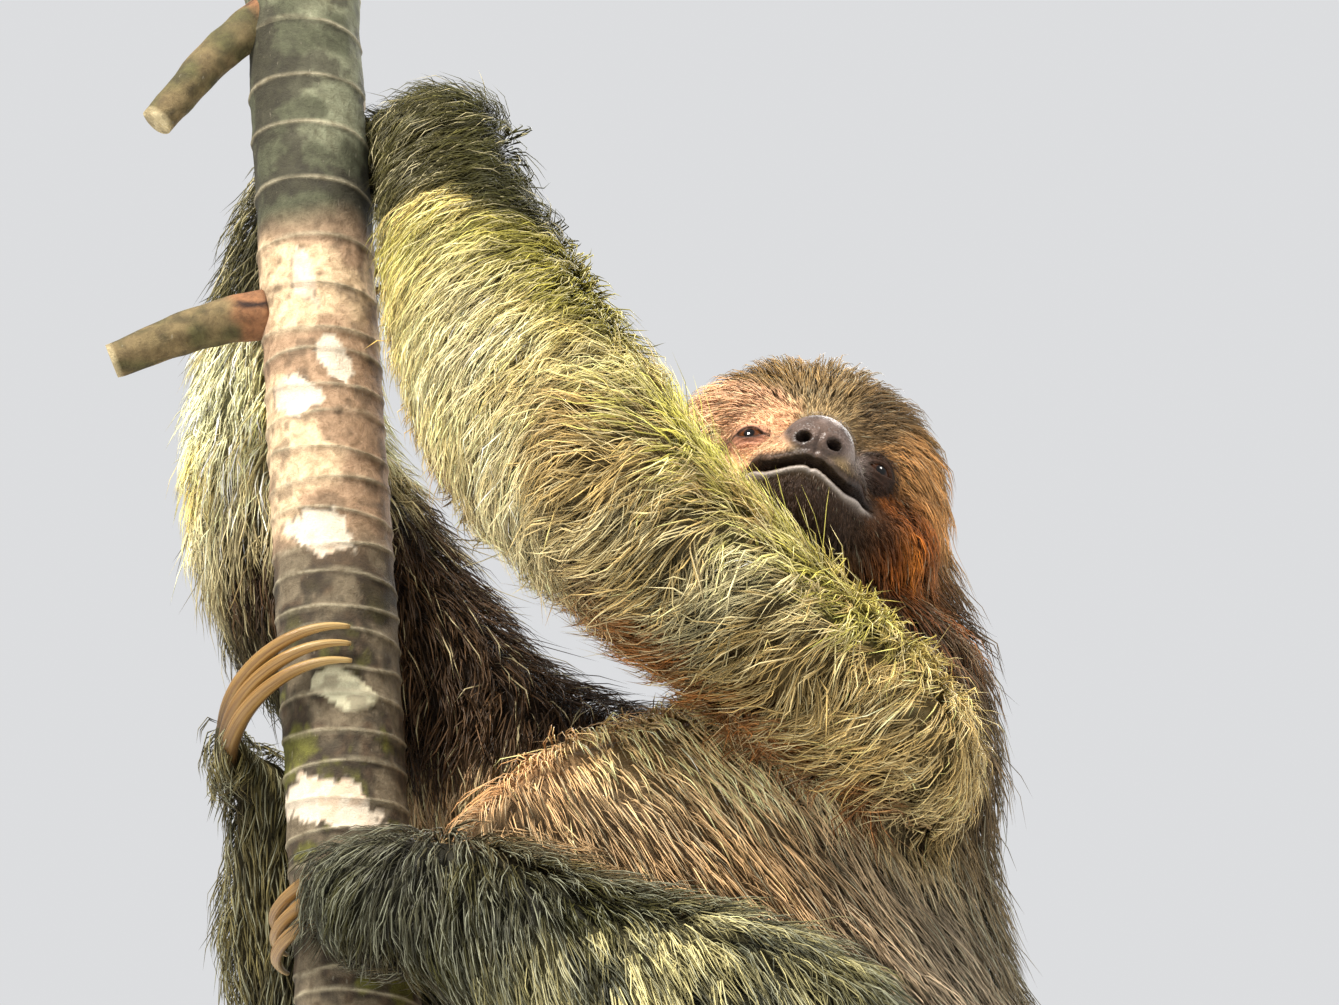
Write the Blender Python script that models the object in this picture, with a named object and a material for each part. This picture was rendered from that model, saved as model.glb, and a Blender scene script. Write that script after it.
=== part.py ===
"""A life-size three-toed sloth that hugs a short cut length of Cecropia trunk, on a plain display stand.

Metres, +Z up. The origin is the middle of the stand's underside. The sloth's left side faces -Y, its back
faces +X, and its head looks over its left arm towards -Y. Every solid reaches out to the tips of the coat.
"""

import math

import bmesh
import bpy
from mathutils import Matrix, Vector

GAP = 0.0003  # clearance between solids that touch

# The trunk: a leaning stem with horizontal rings, cut level at both ends.
TRUNK_RADIUS = 0.0200
TRUNK_LOW = 0.100
TRUNK_HIGH = 0.745
TRUNK_LEAN = -0.0839  # sideways shift per metre of height
TRUNK_X_AT_GRIP = -0.1039
GRIP_HEIGHT = 0.388
RING_SPACING = 0.0495
RING_PROUD = 0.0011
TRUNK_SIDES = 14

# The stand: a flat base and one rod with a flange under the trunk.
BASE_LENGTH = 0.400
BASE_WIDTH = 0.290
BASE_THICK = 0.020
BASE_CORNER = 0.030
ROD_RADIUS = 0.008
FLANGE_RADIUS = 0.0185
FLANGE_THICK = 0.006

# The coat's outer form is made of lofts, balls and tubes, joined by a voxel remesh.
BODY_VOXEL = 0.0050
HEAD_VOXEL = 0.0030

# Torso: level sections as (height, x, y, half depth from belly to back, half width).
CHEST_YAW = math.radians(28)
TORSO_SECTIONS = (
    (0.136, 0.083, 0.010, 0.022, 0.028),
    (0.146, 0.079, 0.010, 0.046, 0.048),
    (0.168, 0.073, 0.009, 0.064, 0.063),
    (0.205, 0.064, 0.007, 0.078, 0.072),
    (0.250, 0.052, 0.004, 0.088, 0.077),
    (0.300, 0.038, 0.002, 0.095, 0.078),
    (0.345, 0.022, 0.001, 0.098, 0.074),
    (0.376, 0.017, 0.001, 0.099, 0.072),
    (0.398, 0.024, 0.006, 0.087, 0.062),
    (0.416, 0.044, 0.014, 0.061, 0.052),
    (0.436, 0.056, 0.017, 0.046, 0.044),
)
NECK_PATH = ((0.062, 0.012, 0.400, 0.052), (0.064, 0.019, 0.445, 0.047), (0.058, 0.020, 0.485, 0.044))
NECK_ROOT = (0.060, 0.012, 0.428)
TAIL_PATH = ((0.094, 0.018, 0.176, 0.026), (0.118, 0.024, 0.158, 0.023), (0.131, 0.027, 0.146, 0.015))

# Head: its own frame has +X to the sloth's left, -Y forward and +Z up, with the eyes at Z = 0.
HEAD_CENTRE = (0.0443, 0.003, 0.499)
HEAD_YAW = math.radians(6.4)
HEAD_PITCH = math.radians(12)
HEAD_ROLL = math.radians(16)
CRANIUM = ((-0.0010, 0.0085, 0.0096), (0.0515, 0.0455, 0.0502))
FACE = ((0.002, -0.004, -0.0145), (0.047, 0.0325, 0.034))
MUZZLE = ((0.0, -0.0375, -0.0180), (0.0215, 0.0215, 0.0165))
NOSE = ((0.0008, -0.0530, -0.0130), (0.0125, 0.0080, 0.0095))
CHIN = ((0.0, -0.0335, -0.0290), (0.019, 0.020, 0.0130))
EYE_PLACE = (0.0203, -0.0258, -0.0004)
EYE_RADIUS = 0.0062
MOUTH_HEIGHT = -0.0250  # the slit between the lips
MOUTH_BACK = -0.030
MOUTH_HALF_WIDTH = 0.0200
MOUTH_OPEN = 0.0012

# Limbs: each path runs from the root to the palm or sole, as (x, y, z, radius). After it come
# the two places where the limb is parted, as indexes of the path's points.
LIMBS = {
    "arm_left": (
        (
            (0.070, -0.032, 0.396, 0.032),
            (0.066, -0.052, 0.402, 0.031),
            (0.025, -0.074, 0.430, 0.034),
            (-0.013, -0.086, 0.462, 0.037),
            (-0.038, -0.071, 0.498, 0.041),
            (-0.057, -0.047, 0.546, 0.037),
            (-0.0705, -0.024, 0.594, 0.029),
            (-0.0728, -0.011, 0.6205, 0.0262),
            (-0.087, 0.010, 0.633, 0.020),
            (-0.099, 0.023, 0.628, 0.016),
        ),
        3,
        7,
        ("arm_left_upper", "arm_left_fore", "hand_left"),
    ),
    "arm_right": (
        (
            (0.006, 0.040, 0.402, 0.040),
            (-0.034, 0.052, 0.411, 0.041),
            (-0.078, 0.060, 0.443, 0.042),
            (-0.120, 0.062, 0.497, 0.046),
            (-0.136, 0.058, 0.545, 0.038),
            (-0.133, 0.054, 0.592, 0.032),
            (-0.131, 0.048, 0.634, 0.0220),
            (-0.121, 0.036, 0.600, 0.014),
        ),
        3,
        6,
        ("arm_right_upper", "arm_right_fore", "hand_right"),
    ),
    "leg_left": (
        (
            (0.066, -0.026, 0.215, 0.052),
            (0.056, -0.066, 0.245, 0.048),
            (0.036, -0.098, 0.286, 0.041),
            (-0.016, -0.082, 0.313, 0.035),
            (-0.062, -0.058, 0.342, 0.029),
            (-0.088, -0.044, 0.350, 0.0235),
        ),
        2,
        4,
        ("leg_left_thigh", "leg_left_shin", "foot_left"),
    ),
    "leg_right": (
        (
            (0.034, 0.036, 0.240, 0.052),
            (0.008, 0.070, 0.290, 0.047),
            (-0.026, 0.086, 0.340, 0.038),
            (-0.080, 0.070, 0.340, 0.031),
            (-0.126, 0.044, 0.345, 0.0240),
            (-0.133, 0.020, 0.405, 0.0150),
        ),
        2,
        4,
        ("leg_right_thigh", "leg_right_shin", "foot_right"),
    ),
}

# Claws: three on each limb, as hooks round the trunk. Angles are seen from above, from +X towards +Y.
# (start angle, end angle, first and last reach beyond the bark, height, rise, drop of each next, root size)
CLAW_COUNT = 3
CLAW_STEPS = 9
CLAW_DEPTH = 1.30  # how much deeper than wide a claw is
CLAW_TAPER = 0.70  # share of its width that a claw loses by its tip
CLAWS = {
    "hand_left": (40, 146, 0.0062, 0.0032, 0.6430, 0.000, 0.0068, 0.0022),
    "hand_right": (100, 30, 0.0110, 0.0032, 0.6020, -0.006, 0.0068, 0.0022),
    "foot_left": (262, 158, 0.0120, 0.0032, 0.3640, -0.012, 0.0062, 0.0022),
    "foot_right": (170, 283, 0.0185, 0.0032, 0.4180, 0.028, 0.0058, 0.0026),
}

# Stubs of leaf stalks, as (x, y, z, radius), cut short.
STALKS = {
    "perch_stalk_low": (
        (-0.136, -0.003, 0.5655, 0.0092),
        (-0.158, -0.004, 0.5600, 0.0078),
        (-0.188, -0.004, 0.5475, 0.0064),
    ),
    "perch_stalk_high": (
        (-0.134, -0.004, 0.6830, 0.0092),
        (-0.156, -0.008, 0.6620, 0.0072),
        (-0.176, -0.012, 0.6330, 0.0060),
    ),
}

# Triangles left in each form after it is thinned out.
CORE_TRIANGLES = 1100
HEAD_TRIANGLES = 1000
LIMB_TRIANGLES = 460
TAIL_TRIANGLES = 140

COLOURS = {
    "fur_brown": ((0.30, 0.22, 0.14, 1.0), 0.85),
    "fur_olive": ((0.36, 0.33, 0.16, 1.0), 0.85),
    "fur_grey": ((0.22, 0.22, 0.17, 1.0), 0.85),
    "claw": ((0.62, 0.47, 0.25, 1.0), 0.40),
    "eye": ((0.05, 0.025, 0.015, 1.0), 0.10),
    "bark": ((0.32, 0.29, 0.23, 1.0), 0.80),
    "stand_wood": ((0.16, 0.085, 0.045, 1.0), 0.45),
    "stand_steel": ((0.35, 0.35, 0.35, 1.0), 0.40),
}


def clear_scene():
    for obj in list(bpy.data.objects):
        bpy.data.objects.remove(obj)


def material(name):
    """The named Principled BSDF material, made once."""
    found = bpy.data.materials.get(name)
    if found:
        return found
    colour, roughness = COLOURS[name]
    made = bpy.data.materials.new(name)
    made.use_nodes = True
    shader = made.node_tree.nodes["Principled BSDF"]
    shader.inputs["Base Color"].default_value = colour
    shader.inputs["Roughness"].default_value = roughness
    shader.inputs["Metallic"].default_value = 0.9 if name == "stand_steel" else 0.0
    return made


def new_object(name, bm):
    """An object that holds the bmesh."""
    mesh = bpy.data.meshes.new(name)
    bm.to_mesh(mesh)
    bm.free()
    obj = bpy.data.objects.new(name, mesh)
    bpy.context.scene.collection.objects.link(obj)
    return obj


def finish(obj, name, colour, sharp_angle=math.radians(40)):
    """Names the piece, gives it its material and shades it smooth."""
    obj.name = name
    obj.data.name = name
    obj.data.materials.clear()
    obj.data.materials.append(material(colour))
    obj.data.shade_smooth()
    obj.data.set_sharp_from_angle(angle=sharp_angle)
    return obj


def apply_modifiers(obj):
    """Replaces the object's mesh by what its modifiers make of it."""
    graph = bpy.context.evaluated_depsgraph_get()
    graph.update()
    mesh = bpy.data.meshes.new_from_object(obj.evaluated_get(graph))
    obj.modifiers.clear()
    obj.data = mesh


def remove(obj):
    bpy.data.objects.remove(obj)


def trunk_x(z):
    """Where the trunk's axis is at a height."""
    return TRUNK_X_AT_GRIP + TRUNK_LEAN * (z - GRIP_HEIGHT)


def curve_through(stations, per_span):
    """Catmull-Rom points through (x, y, z, radius) stations, as (place, radius) pairs."""
    rows = [Vector(s) for s in stations]
    ends = [2 * rows[0] - rows[1], *rows, 2 * rows[-1] - rows[-2]]
    points = []
    for a, b, c, d in zip(ends, ends[1:], ends[2:], ends[3:]):
        for k in range(per_span):
            t = k / per_span
            points.append(0.5 * (2 * b + (c - a) * t + (2 * a - 5 * b + 4 * c - d) * t**2 + (3 * b - a - 3 * c + d) * t**3))
    points.append(rows[-1])
    return [(p.xyz, p.w) for p in points]


def add_ball(bm, centre, half_sizes, turn=Matrix.Identity(4)):
    """An ellipsoid whose half sizes are measured before it is turned."""
    stretch = Matrix.Diagonal((*half_sizes, 1.0))
    bmesh.ops.create_icosphere(bm, subdivisions=3, radius=1.0, matrix=Matrix.Translation(centre) @ turn @ stretch)


def bridge(bm, loops):
    """Skins the space between the loops and caps both ends."""
    sides = len(loops[0])
    for low, high in zip(loops, loops[1:]):
        for k in range(sides):
            n = (k + 1) % sides
            bm.faces.new((low[k], low[n], high[n], high[k]))
    bm.faces.new(reversed(loops[0]))
    bm.faces.new(loops[-1])


def add_tube(bm, points, sides):
    """A tube along (place, radius) points. Its frame is carried along the path without twist."""
    loops = []
    side = None
    for i, (place, radius) in enumerate(points):
        before = points[max(i - 1, 0)][0]
        after = points[min(i + 1, len(points) - 1)][0]
        along = (after - before).normalized()
        side = along.orthogonal() if side is None else side
        side = (side - along * side.dot(along)).normalized()
        other = along.cross(side)
        loop = []
        for k in range(sides):
            angle = 2 * math.pi * k / sides
            loop.append(bm.verts.new(place + radius * (math.cos(angle) * side + math.sin(angle) * other)))
        loops.append(loop)
    bridge(bm, loops)


def add_limb(bm, stations):
    """A round-ended tube: the ball at each end closes it softly."""
    points = curve_through(stations, 4)
    add_tube(bm, points, 18)
    for place, radius in (points[0], points[-1]):
        add_ball(bm, place, (radius, radius, radius))


def coat_form(name, fill, voxel, triangles, smoothing):
    """Joins what fill(bm) adds into one closed skin, rounds its creases and thins it out."""
    bm = bmesh.new()
    fill(bm)
    obj = new_object(name, bm)
    remesh = obj.modifiers.new("join", "REMESH")
    remesh.mode = "VOXEL"
    remesh.voxel_size = voxel
    smooth = obj.modifiers.new("round", "SMOOTH")
    smooth.factor = 0.5
    smooth.iterations = smoothing
    apply_modifiers(obj)
    thin = obj.modifiers.new("thin", "DECIMATE")
    thin.ratio = min(1.0, triangles / (2 * len(obj.data.polygons)))
    apply_modifiers(obj)
    return keep_largest(obj)


def keep_largest(obj):
    """Drops loose bits that a cut left, and keeps the main body."""
    bm = bmesh.new()
    bm.from_mesh(obj.data)
    left = set(bm.verts)
    islands = []
    while left:
        stack = [left.pop()]
        island = set(stack)
        while stack:
            for edge in stack.pop().link_edges:
                for vert in edge.verts:
                    if vert in left:
                        left.discard(vert)
                        island.add(vert)
                        stack.append(vert)
        islands.append(island)
    main = max(islands, key=len)
    bmesh.ops.delete(bm, geom=[v for v in bm.verts if v not in main], context="VERTS")
    bmesh.ops.triangulate(bm, faces=bm.faces)
    bm.to_mesh(obj.data)
    bm.free()
    return obj


def swollen_copy(obj, clearance):
    """A cutter in the shape of obj, larger all round by the clearance."""
    copy = bpy.data.objects.new(obj.name + "_cutter", obj.data.copy())
    bpy.context.scene.collection.objects.link(copy)
    swell = copy.modifiers.new("swell", "DISPLACE")
    swell.strength = clearance
    swell.mid_level = 0.0
    apply_modifiers(copy)
    return copy


def combine(obj, other, operation):
    """Boolean of obj with other, which is removed."""
    boolean = obj.modifiers.new("cut", "BOOLEAN")
    boolean.operation = operation
    boolean.object = other
    boolean.solver = "EXACT"
    apply_modifiers(obj)
    remove(other)
    return keep_largest(obj)


def cut_away(obj, neighbour, clearance=GAP):
    """Takes the neighbour's shape out of obj, so that they meet with a small gap."""
    return combine(obj, swollen_copy(neighbour, clearance), "DIFFERENCE")


def part(obj, place, normal):
    """Parts obj at a plane: returns the piece behind it and the piece in front of it, a gap apart."""
    halves = []
    for sign in (-1, 1):
        bm = bmesh.new()
        bm.from_mesh(obj.data)
        geometry = bm.verts[:] + bm.edges[:] + bm.faces[:]
        cut = bmesh.ops.bisect_plane(
            bm,
            geom=geometry,
            plane_co=place + normal * sign * GAP / 2,
            plane_no=normal,
            clear_outer=sign < 0,
            clear_inner=sign > 0,
        )
        rim = [e for e in cut["geom_cut"] if isinstance(e, bmesh.types.BMEdge)]
        bmesh.ops.holes_fill(bm, edges=rim)
        halves.append(keep_largest(new_object(obj.name + "_half", bm)))
    remove(obj)
    return halves


def level_tube(name, profile, sides, lean):
    """A round solid from (height, radius) pairs. Its axis follows the trunk where lean is true."""
    bm = bmesh.new()
    loops = []
    for z, radius in profile:
        x = trunk_x(z) if lean else trunk_x(TRUNK_LOW)
        loop = []
        for k in range(sides):
            angle = 2 * math.pi * k / sides
            loop.append(bm.verts.new((x + radius * math.cos(angle), radius * math.sin(angle), z)))
        loops.append(loop)
    bridge(bm, loops)
    return new_object(name, bm)


def build_trunk():
    """The stem: level loops up its lean, each ring a low ridge."""
    profile = [(TRUNK_LOW, TRUNK_RADIUS)]
    rings = int((TRUNK_HIGH - TRUNK_LOW) / RING_SPACING)
    for k in range(1, rings + 1):
        z = TRUNK_LOW + k * RING_SPACING
        profile += [(z - 0.0040, TRUNK_RADIUS), (z, TRUNK_RADIUS + RING_PROUD)]
    profile.append((TRUNK_HIGH, TRUNK_RADIUS))
    return level_tube("perch_trunk", profile, TRUNK_SIDES, True)


def build_grip_core():
    """What the limbs are cut to: a plain stem as wide as the trunk's ridges."""
    radius = TRUNK_RADIUS + RING_PROUD
    core = level_tube("grip_core", ((TRUNK_LOW - 0.01, radius), (TRUNK_HIGH + 0.01, radius)), 2 * TRUNK_SIDES, True)
    core.hide_render = True
    core.display_type = "WIRE"
    return core


def build_stub(stations, trunk):
    """A stalk or branch stub that starts at the bark."""
    bm = bmesh.new()
    add_tube(bm, curve_through(stations, 3), 10)
    return cut_away(new_object("stub", bm), trunk)


def build_base():
    """A flat plate with round corners and a softened top edge."""
    bm = bmesh.new()
    bmesh.ops.create_cube(bm, size=1.0, matrix=Matrix.Diagonal((BASE_LENGTH, BASE_WIDTH, BASE_THICK, 1.0)))
    bmesh.ops.translate(bm, verts=bm.verts, vec=(0, 0, BASE_THICK / 2))
    upright = [e for e in bm.edges if abs(e.verts[0].co.z - e.verts[1].co.z) > BASE_THICK / 2]
    bmesh.ops.bevel(bm, geom=upright, offset=BASE_CORNER, segments=6, profile=0.5, affect="EDGES")
    top = [e for e in bm.edges if all(v.co.z > BASE_THICK * 0.9 for v in e.verts)]
    bmesh.ops.bevel(bm, geom=top, offset=0.003, segments=2, profile=0.5, affect="EDGES")
    return new_object("stand_base", bm)


def build_rod():
    """A rod with a foot on the base and a flange under the trunk."""
    low = BASE_THICK + GAP
    high = TRUNK_LOW - GAP
    profile = (
        (low, FLANGE_RADIUS),
        (low + FLANGE_THICK * 0.7, FLANGE_RADIUS),
        (low + FLANGE_THICK, ROD_RADIUS),
        (high - FLANGE_THICK, ROD_RADIUS),
        (high - FLANGE_THICK * 0.7, FLANGE_RADIUS),
        (high, FLANGE_RADIUS),
    )
    return level_tube("stand_rod", profile, 20, False)


def head_frame():
    """The matrix from the head's own frame to the world."""
    turn = Matrix.Rotation(HEAD_YAW, 4, "Z") @ Matrix.Rotation(-HEAD_PITCH, 4, "X") @ Matrix.Rotation(HEAD_ROLL, 4, "Y")
    return Matrix.Translation(HEAD_CENTRE) @ turn


def add_head(bm):
    frame = head_frame()
    turn = frame.to_3x3().to_4x4()
    for centre, sizes in (CRANIUM, FACE, MUZZLE, NOSE, CHIN):
        add_ball(bm, frame @ Vector(centre), sizes, turn)


def add_torso(bm):
    """A loft through level ellipses that are turned by the chest's yaw."""
    sides = 28
    depth_way = Vector((math.cos(CHEST_YAW), math.sin(CHEST_YAW), 0))
    width_way = Vector((-math.sin(CHEST_YAW), math.cos(CHEST_YAW), 0))
    loops = []
    for z, x, y, depth, width in TORSO_SECTIONS:
        loop = []
        for k in range(sides):
            angle = 2 * math.pi * k / sides
            place = depth * math.cos(angle) * depth_way + width * math.sin(angle) * width_way
            loop.append(bm.verts.new(Vector((x, y, z)) + place))
        loops.append(loop)
    bridge(bm, loops)


def box_in(frame, low, high):
    """A box given by its corners in a frame."""
    bm = bmesh.new()
    low, high = Vector(low), Vector(high)
    middle = (low + high) / 2
    size = high - low
    bmesh.ops.create_cube(bm, size=1.0, matrix=frame @ Matrix.Translation(middle) @ Matrix.Diagonal((*size, 1.0)))
    return new_object("box", bm)


def build_eye(side):
    frame = head_frame()
    bm = bmesh.new()
    place = frame @ Vector((side * EYE_PLACE[0], EYE_PLACE[1], EYE_PLACE[2]))
    bmesh.ops.create_uvsphere(bm, u_segments=12, v_segments=8, radius=EYE_RADIUS, matrix=Matrix.Translation(place))
    return new_object("eye", bm)


def build_core():
    """Torso, neck and head as three meeting solids."""

    def neck_and_torso(bm):
        add_torso(bm)
        add_limb(bm, NECK_PATH)

    body = coat_form("body", neck_and_torso, BODY_VOXEL, CORE_TRIANGLES, 10)
    head = coat_form("head", add_head, HEAD_VOXEL, HEAD_TRIANGLES, 4)
    cut_away(body, head)
    up_the_neck = Vector((-0.02, 0.10, 0.99)).normalized()
    torso, neck = part(body, Vector(NECK_ROOT), up_the_neck)
    return torso, neck, head


def split_jaw(head):
    """Parts the lower jaw from the head along the open mouth."""
    frame = head_frame()
    low = (-MOUTH_HALF_WIDTH, -0.090, -0.060)
    jaw = bpy.data.objects.new("jaw", head.data.copy())
    bpy.context.scene.collection.objects.link(jaw)
    combine(jaw, box_in(frame, low, (MOUTH_HALF_WIDTH, MOUTH_BACK, MOUTH_HEIGHT)), "INTERSECT")
    wide = MOUTH_HALF_WIDTH + GAP
    roof = MOUTH_HEIGHT + MOUTH_OPEN
    combine(head, box_in(frame, (-wide, -0.090, -0.060), (wide, MOUTH_BACK + GAP, roof)), "DIFFERENCE")
    return head, jaw


def build_limb(name):
    """A whole limb, not yet parted."""
    stations = LIMBS[name][0]
    return coat_form(name, lambda bm: add_limb(bm, stations), BODY_VOXEL, LIMB_TRIANGLES, 3)


def part_limb(limb, name):
    """Parts a limb at its elbow or knee and at its wrist or ankle."""
    stations, bend, wrist, names = LIMBS[name]
    pieces = []
    for index in (bend, wrist):
        before, here, after = (Vector(stations[index + step][:3]) for step in (-1, 0, 1))
        normal = ((here - before).normalized() + (after - here).normalized()).normalized()
        behind, limb = part(limb, here, normal)
        pieces.append(behind)
    return list(zip(names, (*pieces, limb)))


def build_claw(name, number):
    """One claw: a hook round the trunk, deep and narrow, thick at its root and thin at its tip."""
    start, end, reach, last_reach, height, rise, drop, root = CLAWS[name]
    bark = TRUNK_RADIUS + RING_PROUD
    centres = []
    for k in range(CLAW_STEPS + 1):
        t = k / CLAW_STEPS
        angle = math.radians(start + (end - start) * t)
        z = height - number * drop + rise * math.sin(t * math.pi / 2)
        half_width = root * (1 - CLAW_TAPER * t**2.2)
        out = bark + reach + (last_reach - reach) * t**0.8
        out = max(out, bark + half_width * CLAW_DEPTH + 2 * GAP)
        outward = Vector((math.cos(angle), math.sin(angle), 0))
        centres.append((Vector((trunk_x(z), 0, z)) + out * outward, outward, half_width))
    bm = bmesh.new()
    loops = []
    sides = 6
    for k, (place, outward, half_width) in enumerate(centres):
        along = (centres[min(k + 1, CLAW_STEPS)][0] - centres[max(k - 1, 0)][0]).normalized()
        across = along.cross(outward).normalized()
        deep = across.cross(along)
        loop = []
        for n in range(sides):
            turn = 2 * math.pi * n / sides
            offset = half_width * (math.cos(turn) * across + CLAW_DEPTH * math.sin(turn) * deep)
            loop.append(bm.verts.new(place + offset))
        loops.append(loop)
    bridge(bm, loops)
    bmesh.ops.recalc_face_normals(bm, faces=bm.faces)
    return new_object("claw", bm)


def main():
    clear_scene()
    trunk = build_trunk()
    grip_core = build_grip_core()
    torso, neck, head = build_core()
    head, jaw = split_jaw(head)
    cut_away(torso, grip_core)
    eyes = {"eye_left": build_eye(1), "eye_right": build_eye(-1)}
    for eye in eyes.values():
        cut_away(head, eye)

    tail = coat_form("tail", lambda bm: add_limb(bm, TAIL_PATH), BODY_VOXEL, TAIL_TRIANGLES, 2)
    cut_away(tail, torso)

    limbs = {}
    for name in LIMBS:
        limb = build_limb(name)
        for neighbour in (torso, neck, head, jaw, grip_core, *limbs.values()):
            cut_away(limb, neighbour)
        limbs[name] = limb

    claws = {}
    root_of = {"hand_left": "arm_left", "hand_right": "arm_right", "foot_left": "leg_left", "foot_right": "leg_right"}
    for name in CLAWS:
        for number in range(CLAW_COUNT):
            claw = build_claw(name, number)
            for limb in sorted(limbs, key=lambda other: other == root_of[name]):
                cut_away(claw, limbs[limb])
            claws[f"{name}_claw_{number + 1}"] = claw

    finish(torso, "torso", "fur_brown")
    finish(neck, "neck", "fur_brown")
    finish(head, "head", "fur_brown")
    finish(jaw, "lower_jaw", "fur_brown")
    finish(tail, "tail", "fur_brown")
    for name, eye in eyes.items():
        finish(eye, name, "eye")
    for name, limb in limbs.items():
        for node, piece in part_limb(limb, name):
            finish(piece, node, "fur_olive" if "arm" in name else "fur_grey")
    for name, claw in claws.items():
        finish(claw, name, "claw")
    for name, stations in STALKS.items():
        finish(build_stub(stations, grip_core), name, "bark")
    finish(trunk, "perch_trunk", "bark")
    finish(build_base(), "stand_base", "stand_wood")
    finish(build_rod(), "stand_rod", "stand_steel")
    remove(grip_core)


main()
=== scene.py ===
"""The looks of the sloth: one skin under a coat of mesh hair, wet eyes and nose, horn claws, ringed bark.

In the functions, points, normals and colours are arrays with a row for each place, and lengths are in metres.
"""

import math
from functools import partial

import bmesh
import bpy
import numpy as np
from mathutils import Matrix, Vector
from mathutils.bvhtree import BVHTree
from mathutils.kdtree import KDTree


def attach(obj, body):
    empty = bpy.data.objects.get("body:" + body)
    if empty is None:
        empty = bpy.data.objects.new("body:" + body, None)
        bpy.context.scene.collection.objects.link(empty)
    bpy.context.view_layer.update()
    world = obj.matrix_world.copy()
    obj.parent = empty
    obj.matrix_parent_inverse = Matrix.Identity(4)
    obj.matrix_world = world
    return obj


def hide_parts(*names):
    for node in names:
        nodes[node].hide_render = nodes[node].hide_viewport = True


SIDES = (-1, 1)  # the sloth's right and left
UP = np.array([0.0, 0.0, 1.0])

# --- Small tools


def mm(*sizes):
    """Sizes given in millimetres, as metres."""
    return np.array(sizes) / 1000


def unit(v):
    return v / np.maximum(np.linalg.norm(v, axis=-1, keepdims=True), 1e-12)


def dot(a, b):
    return np.sum(a * b, axis=-1)


def lerp(a, b, t):
    return a + (b - a) * t


def ramp(low, high, x):
    """Runs smoothly from 0 at low to 1 at high."""
    t = np.clip((x - low) / (high - low), 0.0, 1.0)
    return t * t * (3 - 2 * t)


def bell(x, middle, width, power=2):
    """1 at the middle, and fades out on both sides of it."""
    return np.exp(-((np.abs(x - middle) / width) ** power))


def circle(count):
    """Angles of so many points round a full turn."""
    return 2 * math.pi * np.arange(count) / count


def noise(points, size, seed):
    """Smooth value noise from 0 to 1 with features of the given size."""
    grid = points / size + 1000.5
    cell = np.floor(grid).astype(np.int64)
    part = grid - cell
    part = part * part * (3 - 2 * part)
    total = np.zeros(len(points))
    for corner in range(8):
        step = np.array([corner & 1, corner >> 1 & 1, corner >> 2 & 1])
        x, y, z = (cell + step).T
        code = (x * 73856093) ^ (y * 19349663) ^ (z * 83492791) ^ (seed * 40503 + 977)
        code = (code ^ (code >> 13)) * 1274126177 & 0xFFFFFFFF
        value = ((code ^ (code >> 16)) & 0xFFFF) / 65535.0
        total += value * np.prod(np.where(step == 1, part, 1 - part), axis=1)
    return total


def patches(points, size, seed):
    """The same noise, centred on 0."""
    return noise(points, size, seed) - 0.5


def srgb(*levels):
    """A colour given as 0 to 255 on screen, as linear light."""
    c = np.array(levels) / 255.0
    return np.where(c <= 0.04045, c / 12.92, ((c + 0.055) / 1.055) ** 2.4)


class Paint:
    """Colours at points, each laid over those before it by its share from 0 to 1."""

    def __init__(self, points, base):
        self.colour = np.tile(base, (len(points), 1))

    def lay(self, colour, share):
        share = np.clip(share, 0, 1)[:, None]
        self.colour = self.colour * (1 - share) + colour * share


def catmull_rom(stations, per_span):
    """A smooth line through (x, y, z, radius) stations."""
    rows = [np.array(s, float) for s in stations]
    ends = [2 * rows[0] - rows[1], *rows, 2 * rows[-1] - rows[-2]]
    points = []
    for a, b, c, d in zip(ends, ends[1:], ends[2:], ends[3:]):
        for t in np.arange(per_span) / per_span:
            bend = (2 * a - 5 * b + 4 * c - d) * t**2 + (3 * b - a - 3 * c + d) * t**3
            points.append(0.5 * (2 * b + (c - a) * t + bend))
    points.append(rows[-1])
    return np.array(points)


# --- Sizes shared with the solids, and the coat's

TRUNK_RADIUS = 0.02
TRUNK_LOW = 0.1
TRUNK_HIGH = 0.745
TRUNK_LEAN = -0.0839
TRUNK_X_AT_GRIP = -0.1039
GRIP_HEIGHT = 0.388
RING_PROUD = 0.0011

CHEST_YAW = math.radians(28)
BACK_WAY = np.array([math.cos(CHEST_YAW), math.sin(CHEST_YAW), 0.0])  # from belly to back
WIDE_WAY = np.array([-math.sin(CHEST_YAW), math.cos(CHEST_YAW), 0.0])  # from the sloth's left to its right
# The torso's sections, in millimetres: height, centre x and y, half depth and half width.
SECTIONS = mm(
    (136, 83, 10, 22, 28), (146, 79, 10, 46, 48), (168, 73, 9, 64, 63), (205, 64, 7, 78, 72),
    (250, 52, 4, 88, 77), (300, 38, 2, 95, 78), (345, 22, 1, 98, 74), (376, 17, 1, 99, 72),
    (398, 24, 6, 87, 62), (416, 44, 14, 61, 52), (436, 56, 17, 46, 44),
)
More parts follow.
